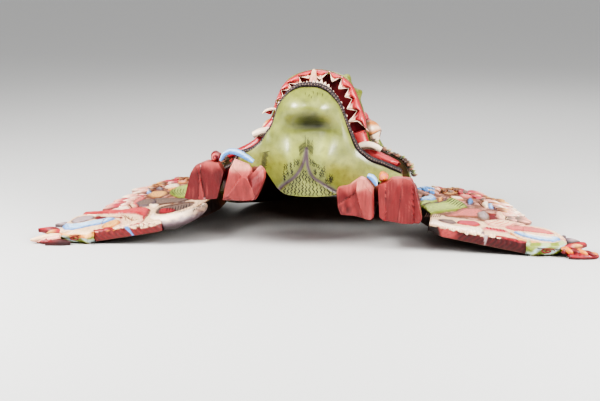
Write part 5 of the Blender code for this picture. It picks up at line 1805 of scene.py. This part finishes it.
    def front_marks(self, moved: Array, height: Array, rim: Array, paint: Array,
                    front: Array) -> tuple[Array, Array, Array]:
        """Paints the wall's marks: the ragged cream edge and one wedge, a lighter red on the right wing, and painted
        shadow at the right wall's inner end.

        Args:
            moved: Points of one row down the wall.
            height: Their heights.
            rim: Height of the board's edge above each.
            paint: Their colours before the marks.
            front: How far each belongs to the front wall, from 0 to 1.

        Returns:
            The points, their heights and their colours.
        """
        x, drop = moved[:, 0], rim - height
        jag = 0.3 + (1.3 * np.abs(np.sin(x / 3.1)) + 0.7 * ripple(moved * (1, 0), 9, 9)) * (1 - 0.5 * ease(176, 186, x))
        if self.left:
            edge_paint = coats(CREAM, (ORANGE, ease(180, 185, x)), (CREAM_PINK, ease(200, 206, x)))
            jag = jag + 1.6 * fall(176, 182, x)
            wedge = ease(0.0, 0.6, 2.6 - 0.12 * drop - np.abs(x - (179.5 - 0.55 * drop)))
            tint = BLUE
        else:
            edge_paint = CREAM
            jag = (jag + 1.0 * fall(166, 172, x)) * fall(178, 184, x) - 0.6 * ease(178, 184, x)
            wedge = ease(0.0, 0.6, 2.2 - 0.14 * drop - np.abs(x - (173.5 + 0.1 * drop)))
            tint = MAUVE_LIGHT
            paint = coats(paint, (LIP_LIGHT, 0.5 * fall(140, 150, x) * front),
                # painted shadow where the right wall's inner end lies in shade under the cream edge
                (SHADOW, fall(124, 128, x - 0.5 * drop) * front))
        paint = coats(paint, (edge_paint, ease(-0.5, 0.1, jag - drop) * front), (tint, wedge * front))
        return moved, height, paint

    def flames(self) -> None:
        """Sets the border of carved flames along the crown edge, and two smaller rows inside it."""
        edge = line_through(CROWN_EDGE[self.side], 1.0)
        rng = np.random.default_rng(70 + self.side.value)
        run, out = directions(edge)
        books = {flame: LeafBook() for flame in Flame}
        for row, (back, spacing, reach) in enumerate(((12.5, 8.0, 1.0), (7.0, 6.5, 0.62), (21.0, 7.5, 0.8))):
            count = int(len(edge) / spacing)
            for k in range(count):
                i = int((k + 0.5) / count * (len(edge) - 1))
                plan = edge[i] - out[i] * (back + rng.uniform(-1.2, 1.2))
                z = float(self.board_height(plan[None])[0]) - 0.5
                at = self.place(plan[0], plan[1], np.array(z))
                swing = 0.55 * math.sin(k * 1.7 + row) + (0.5, -0.6, 0.4)[row]
                ahead = plan + out[i] + run[i] * swing
                along = self.place(ahead[0], ahead[1], np.array(z + 0.03)) - at
                lift = self.place(plan[0], plan[1], np.array(z + 1.0)) - at
                zone = next(flame for limit, flame in FLAME_ZONES[self.side] if plan[0] + 3 < limit)
                if row and rng.random() < 0.45:
                    zone = list(Flame)[int(rng.integers(0, 4))]
                size = reach * rng.uniform(0.85, 1.15)
                turn = 1 if (k + row) % 2 else -1
                books[zone].add(at, along, lift, (size, size * turn, size * 0.9))
        nodes = [f"wing_border_{self.side.label}"]
        for flame, book in books.items():
            if book.rows:
                name = flame.name.lower()
                model = leaf_model(f"flame_model_{name}", 17.0, 8.6, 3.4, *flame.value, curl=0.34)
                piece = book.piece(f"flames_{name}_{self.side.label}", model, RELIEF_PAINT)
                dress(piece, "scroll_brown", *nodes)
                nodes = []

    def spikes(self) -> None:
        """Hangs the fringe of cream spikes over the red wall."""
        rng = np.random.default_rng(90 + self.side.value)
        model = leaf_model("spike_model", 7.0, 5.6, 1.5, CREAM, TOOTH, curl=0.12, cleft=0.0)
        book = LeafBook()
        for x, length in SPIKES[self.side]:
            at = self.place(np.array(x - 2.5), np.array(-20.3), np.array(self.face - 0.4))
            book.add(at, (self.side.value * rng.uniform(-0.15, 0.3), -0.12, -1), (0, -1, 0.1), (length, 0.9, 1))
        dress(book.piece(f"cream_fringe_{self.side.label}", model, TOOTH_PAINT), "cream",
              f"wing_fringe_{self.side.label}")

    def on_face(self, points: Sequence, lift: float = 0.1) -> Array:
        """Line drawn on the carved board through places of the sheet."""
        line = line_through(points, 1.5)
        plan = line - (3.0, 0)
        for _ in range(8):
            level = self.level(plan[:, 1])
            plan = plan + (line - self.sheet(self.place(plan[:, 0], plan[:, 1], level + 1.2))) * (1, 0.6)
            plan[:, 1] = np.maximum(plan[:, 1], -19.0)
        return self.place(plan[:, 0], plan[:, 1], self.board_height(plan) + lift)

    def drawn_lines(self) -> None:
        """Draws the dark and cream lines of the relief."""
        book = LineBook()
        for stroke in STROKES[self.side]:
            for k in range(stroke.count):
                places = np.array(stroke.points, float) + k * np.array(stroke.step)
                book.add(self.on_face(places), stroke.radius, stroke.paint)
        dress(book.piece(f"wing_lines_{self.side.label}"), "rim_grey")

    def horn(self) -> None:
        """Builds the thick cream horn that curls round the hollow, with black hair at its root."""
        path = line_through(HORN, 1.4)
        thick = path[:, 2]
        middle = self.place(path[:, 0] - 2.5, path[:, 1], 13.4 - 0.86 * thick)
        book = LineBook()
        book.add(middle, thick, CREAM, taper=0.0)
        piece = book.piece("cream_horn", TOOTH_PAINT, sides=28)
        points = np.zeros(len(piece.data.vertices) * 3, np.float32)
        piece.data.vertices.foreach_get("co", points)
        points = points.reshape(-1, 3) / MM + (0, CENTRE_Y, 0)
        ground = self.place(np.abs(points[:, 0]), points[:, 1], np.zeros(len(points)))[:, 2]
        up = points[:, 2] - ground
        # painted light and shade: whiter on top, then mauve, then painted shadow (SHADOW) down the horn's underside
        tone = coats(CREAM, (TOOTH, ease(8, 13, up)),
            (CREAM_PINK, 0.4 * ease(0.1, 0.9, ripple(points, 13, 7))),
            (MAUVE_LIGHT, fall(9.0, 11.5, up + 1.2 * ripple(points, 8, 17))),
            (MAUVE, fall(5.5, 9.0, up + 1.2 * ripple(points, 8, 17))),
            (SHADOW, 0.8 * fall(1.5, 6.0, up)),
            (BROWN_DARK, 0.6 * ease(0.2, 0.9, ripple(points * (1, 0.3, 1), 5, 27)) * ease(-126, -114, points[:, 0])))
        store_paint(piece.data, tone)
        dress(piece, "cream", "wing_horn_left")
        hair = LineBook()
        rng = np.random.default_rng(8)
        run = np.gradient(middle, axis=0)
        root = np.flatnonzero((path[:, 0] < 128) & (thick > 3.2))
        for _ in range(60):
            k = int(rng.choice(root))
            sweep = np.linspace(0, 0.45, 6) + rng.uniform(-0.2, 2.0)
            forward = run[k] / np.linalg.norm(run[k])
            side = np.cross(forward, (0, 0, 1.0))
            ring = thick[k] + 0.1
            hair.add(middle[k] + np.outer(np.cos(sweep), side) * ring + np.outer(np.sin(sweep), (0, 0, 1)) * ring
                     + np.outer(np.linspace(0, 2.0, 6), forward), 0.32, INK)
        dress(hair.piece("horn_hair"), "rim_grey")

    def bulb(self) -> None:
        """Builds the rounded end of the wing, painted in curved bands."""
        outline = closed_curve(BULB_OUTLINE[self.side], 5)
        outline[:, 0] = np.maximum(outline[:, 0], 214.6)
        relief = Relief(outline, self.flat, wall_rows=12)
        middle = outline.mean(axis=0)

        def top(plan: Array, depth: Array) -> tuple[Array, Array]:
            """Height and colour of the top at points and their distances from the edge."""
            level = 13.0 + 4.4 * ease(-26, 30, plan[:, 1])
            z, paint = self.carve(plan, level, self.flat)
            if not self.left:
                swirl = np.sin(plan[:, 0] * 0.33) + 0.5 * ripple(plan, 9, 54)
                green = mix(LEAF, PALE_GREEN, ease(-0.4, 0.4, swirl))
                paint = mix(paint, green, fall(4.2, 5.4, depth) * fall(-12, -6, plan[:, 1]))
            return z - 2.2 * fall(0, 4.0, depth) ** 2 * ease(216, 220, plan[:, 0]), paint

        def wall(edge: Array, rim: Array, share: float) -> tuple[Array, Array, Array]:
            """Points, heights and colours of one row down the wall."""
            toward = middle - edge
            toward /= np.linalg.norm(toward, axis=1)[:, None]
            inset = 1.8 * ease(0.3, 0.65, share) + 5.5 * ease(0.6, 1.0, share) ** 1.5
            inset = inset - 0.8 * math.sin(math.pi * min(1.0, share * 2))
            moved = edge + toward * inset
            moved[:, 0] = np.where(edge[:, 0] < 215.5, edge[:, 0], moved[:, 0])
            height = rim * (1 - share)
            across = np.full(len(edge), share)
            swirl = np.sin(edge[:, 0] * 0.33 + 7 * share) + 0.5 * ripple(edge, 9, 54)
            low = coats(LEAF, (PALE_GREEN, ease(-0.4, 0.4, swirl)), (BLUE_LIGHT, 0.55 * ease(0.4, 0.9, swirl)))
            high = mix(ORANGE_LIGHT, ORANGE, ease(-0.2, 0.6, swirl))
            start = 0.34 - 0.2 * ease(232, 246, edge[:, 0]) if self.left else -0.1
            paint = coats(high, (low, ease(0.0, 0.08, across - start + 0.04 * ripple(edge, 7, 55))),
                (GREY_BROWN, 0.85 * ease(0.8, 0.98, across)))
            return moved, height, mix(paint, BROWN, 0.7 * ease(0, 20, edge[:, 1]))

        piece = relief.mesh(f"painted_bulb_{self.side.label}", top, wall, BARE_WOOD)
        nodes = [f"wing_bulb_{self.side.label}"] + (["wing_eye_left"] if self.left else [])
        dress(piece, "cream", *nodes)
        book = LineBook()
        turn = np.linspace(0, 3.3 * math.pi, 60)
        spiral = 4.4 * (1 - turn / turn[-1]) + 0.3
        x = 235.0 + spiral * np.cos(turn) * 1.5
        y = np.full(len(x), -25.6) + 0.02 * (x - 233) ** 2
        book.add(self.flat(x, y, 7.0 + spiral * np.sin(turn) * 0.6), 0.7, MOUTH, taper=0.3)
        sweep = np.linspace(222, 247, 20)
        book.add(self.flat(sweep, -25.4 + 0.022 * (sweep - 233) ** 2, 9.6 - 0.004 * (sweep - 228) ** 2), 0.5,
                 BROWN_DARK)
        dress(book.piece(f"bulb_lines_{self.side.label}"), "rim_grey")

    def tip(self) -> None:
        """Builds the curled tip: a dark red root with a snout, a red tongue and a mauve leaf."""
        outline = closed_curve(TIP_OUTLINE[self.side], 4)
        outline[:, 0] = np.maximum(outline[:, 0], 253.8)
        relief = Relief(outline, self.flat, pitch=0.7, wall_rows=6)
        sign = self.side.value

        def top(plan: Array, depth: Array) -> tuple[Array, Array]:
            """Height and colour of the top at points and their distances from the edge."""
            round_edge = np.sqrt(1 - (1 - np.clip(depth / 6.0, 0, 1)) ** 2)
            z = 2.6 + 3.4 * round_edge + 0.4 * ripple(plan, 5, 55) * ease(0, 2, depth)
            z = z + 0.6 * np.sin(plan[:, 0] * 1.1 + plan[:, 1] * 0.4) * ease(0, 3, depth)
            paint = mix(WALL, LIP, 0.5 + 0.5 * ripple(plan, 6, 56))
            return z, paint

        def wall(edge: Array, rim: Array, share: float) -> tuple[Array, Array, Array]:
            """Points, heights and colours of one row down the wall."""
            tone = mix(WALL_DARK, WALL, 0.5 + 0.5 * ripple(edge, 5, 57))
            return edge - outward(edge) * 1.6 * share ** 2, rim * (1 - share), tone

        piece = relief.mesh(f"curled_tip_{self.side.label}", top, wall, BARE_WOOD)
        dress(piece, "tip_red", f"wing_tip_{self.side.label}")
        tongues = TONGUES[self.side]
        length = 20.0
        for paints in dict.fromkeys(t.paints for t in tongues):
            model = leaf_model("tongue_model", length, 7.0, 4.6, *paints, curl=0.3, cleft=0.5, point=1.2)
            book = LeafBook()
            for tongue in tongues:
                if tongue.paints == paints:
                    x, y, z = tongue.at
                    turn = math.radians(tongue.turn)
                    book.add((sign * x, y, z), (sign * math.cos(turn), math.sin(turn), 0.02), (0, 0, 1),
                             (tongue.length / length, tongue.curl * sign * 1.15, 0.95))
            label = "_".join(paint.name.lower() for paint in paints)
            dress(book.piece(f"tip_{label}_{self.side.label}", model, RELIEF_PAINT), "tip_red")
        self.rope()

    def rope(self) -> None:
        """Twists two painted strands to the snout that ends the tip."""
        right = not self.left
        share = np.linspace(0, 1, 60)
        reach = 33.0 if right else 30.0
        middle = join(249.5 + reach * share, -21.0 - 5.0 * share, (7.4 if right else 6.4) - 2.6 * share)
        book = LineBook()
        paints = (ORANGE, WALL) if right else (CREAM, CREAM_PINK)
        thick = 3.0 * (1 - share) ** 0.25 if right else 3.9 * (1 - 0.7 * share ** 2)
        for strand, paint in enumerate(paints):
            turn = math.tau * (2.4 * share if right else 0.4 * share) + math.pi * strand
            twist = join(0 * turn, np.cos(turn), 0.8 * np.sin(turn)) * 0.55 * thick[:, None]
            path = middle + twist
            book.add(self.flat(*path.T), np.maximum(thick, 0.5), paint, taper=0.15)
        dress(book.piece(f"twisted_snout_{self.side.label}", RELIEF_PAINT, sides=14), "tip_red")


# ------------ studio

@dataclass
class Studio:
    """Pale floor, soft lights and the camera at the photograph's angle."""

    azimuth: float = 7.0
    elevation: float = 11.0
    distance: float = 1.25
    lens: float = 75.0
    aim: tuple[float, float, float] = (-0.008, -0.121, 0.046)
    floor_half: float = 14.0

    def build(self) -> None:
        """Makes the floor, the lights, the sky and the camera."""
        mesh = bpy.data.meshes.new("studio_floor")
        corners = [(x * self.floor_half, y * self.floor_half, 0) for x, y in ((-1, -1), (1, -1), (1, 1), (-1, 1))]
        mesh.from_pydata(corners, [], [(0, 1, 2, 3)])
        cloth = bpy.data.materials.new("pale_floor")
        cloth.use_nodes = True
        shader = cloth.node_tree.nodes["Principled BSDF"].inputs
        shader["Base Color"].default_value = (*linear("#c4c3c0"), 1.0)
        shader["Roughness"].default_value = 0.9
        mesh.materials.append(cloth)
        stand("studio_floor", mesh)
        self.lamp("left_softbox", -56, 34, 1.1, 0.5, 21.0)
        self.lamp("right_softbox", 60, 26, 1.1, 0.5, 18.0)
        self.lamp("back_light", 170, 45, 1.5, 0.8, 5.0)
        self.lamp("high_skylight", -4, 62, 1.2, 1.1, 1.3, "SUN")
        scene = bpy.context.scene
        scene.world = bpy.data.worlds.new("soft_sky")
        scene.world.use_nodes = True
        sky = scene.world.node_tree.nodes["Background"].inputs
        sky["Color"].default_value = (*linear("#e6e8ee"), 1.0)
        sky["Strength"].default_value = 0.32
        scene.view_settings.look = "AgX - High Contrast"
        data = bpy.data.cameras.new("photo_camera")
        data.lens = self.lens
        data.sensor_width = 36.0
        scene.camera = stand("photo_camera", data)
        self.aim_from(scene.camera, self.aim, self.azimuth, self.elevation, self.distance)

    def aim_from(self, obj: Thing, target: Sequence[float], azimuth: float, elevation: float,
                 distance: float) -> None:
        """Stands a camera or lamp round a target and turns it to face it.

        Args:
            obj: The camera or lamp.
            target: Place that it faces, in metres.
            azimuth: Degrees round the target, to the viewer's right.
            elevation: Degrees above it.
            distance: Metres from it.
        """
        a, e = math.radians(azimuth), math.radians(elevation)
        back = Vector((math.sin(a) * math.cos(e), -math.cos(a) * math.cos(e), math.sin(e)))
        obj.location = Vector(target) + back * distance
        obj.rotation_mode = "QUATERNION"
        obj.rotation_quaternion = (-back).to_track_quat("-Z", "Y")

    def lamp(self, name: str, azimuth: float, elevation: float, distance: float, size: float, power: float,
             kind: str = "AREA") -> None:
        """Adds a soft lamp that faces the mask: a square box, or an even light from far off as wide as its angle."""
        data = bpy.data.lights.new(name, kind)
        setattr(data, "size" if kind == "AREA" else "angle", size)
        data.energy = power
        self.aim_from(stand(name, data), (0, -0.05, 0.06), azimuth, elevation, distance)


def main() -> None:
    """Builds the studio and the mask's pieces in order."""
    logging.basicConfig(level=logging.INFO, format="%(message)s")
    form = HeadForm()
    for part in (Studio(), Head(form), LowerJaw(), UpperLip(form), RedLobes(), *map(Wing, Side)):
        part.build()


if __name__ == "__main__":
    main()
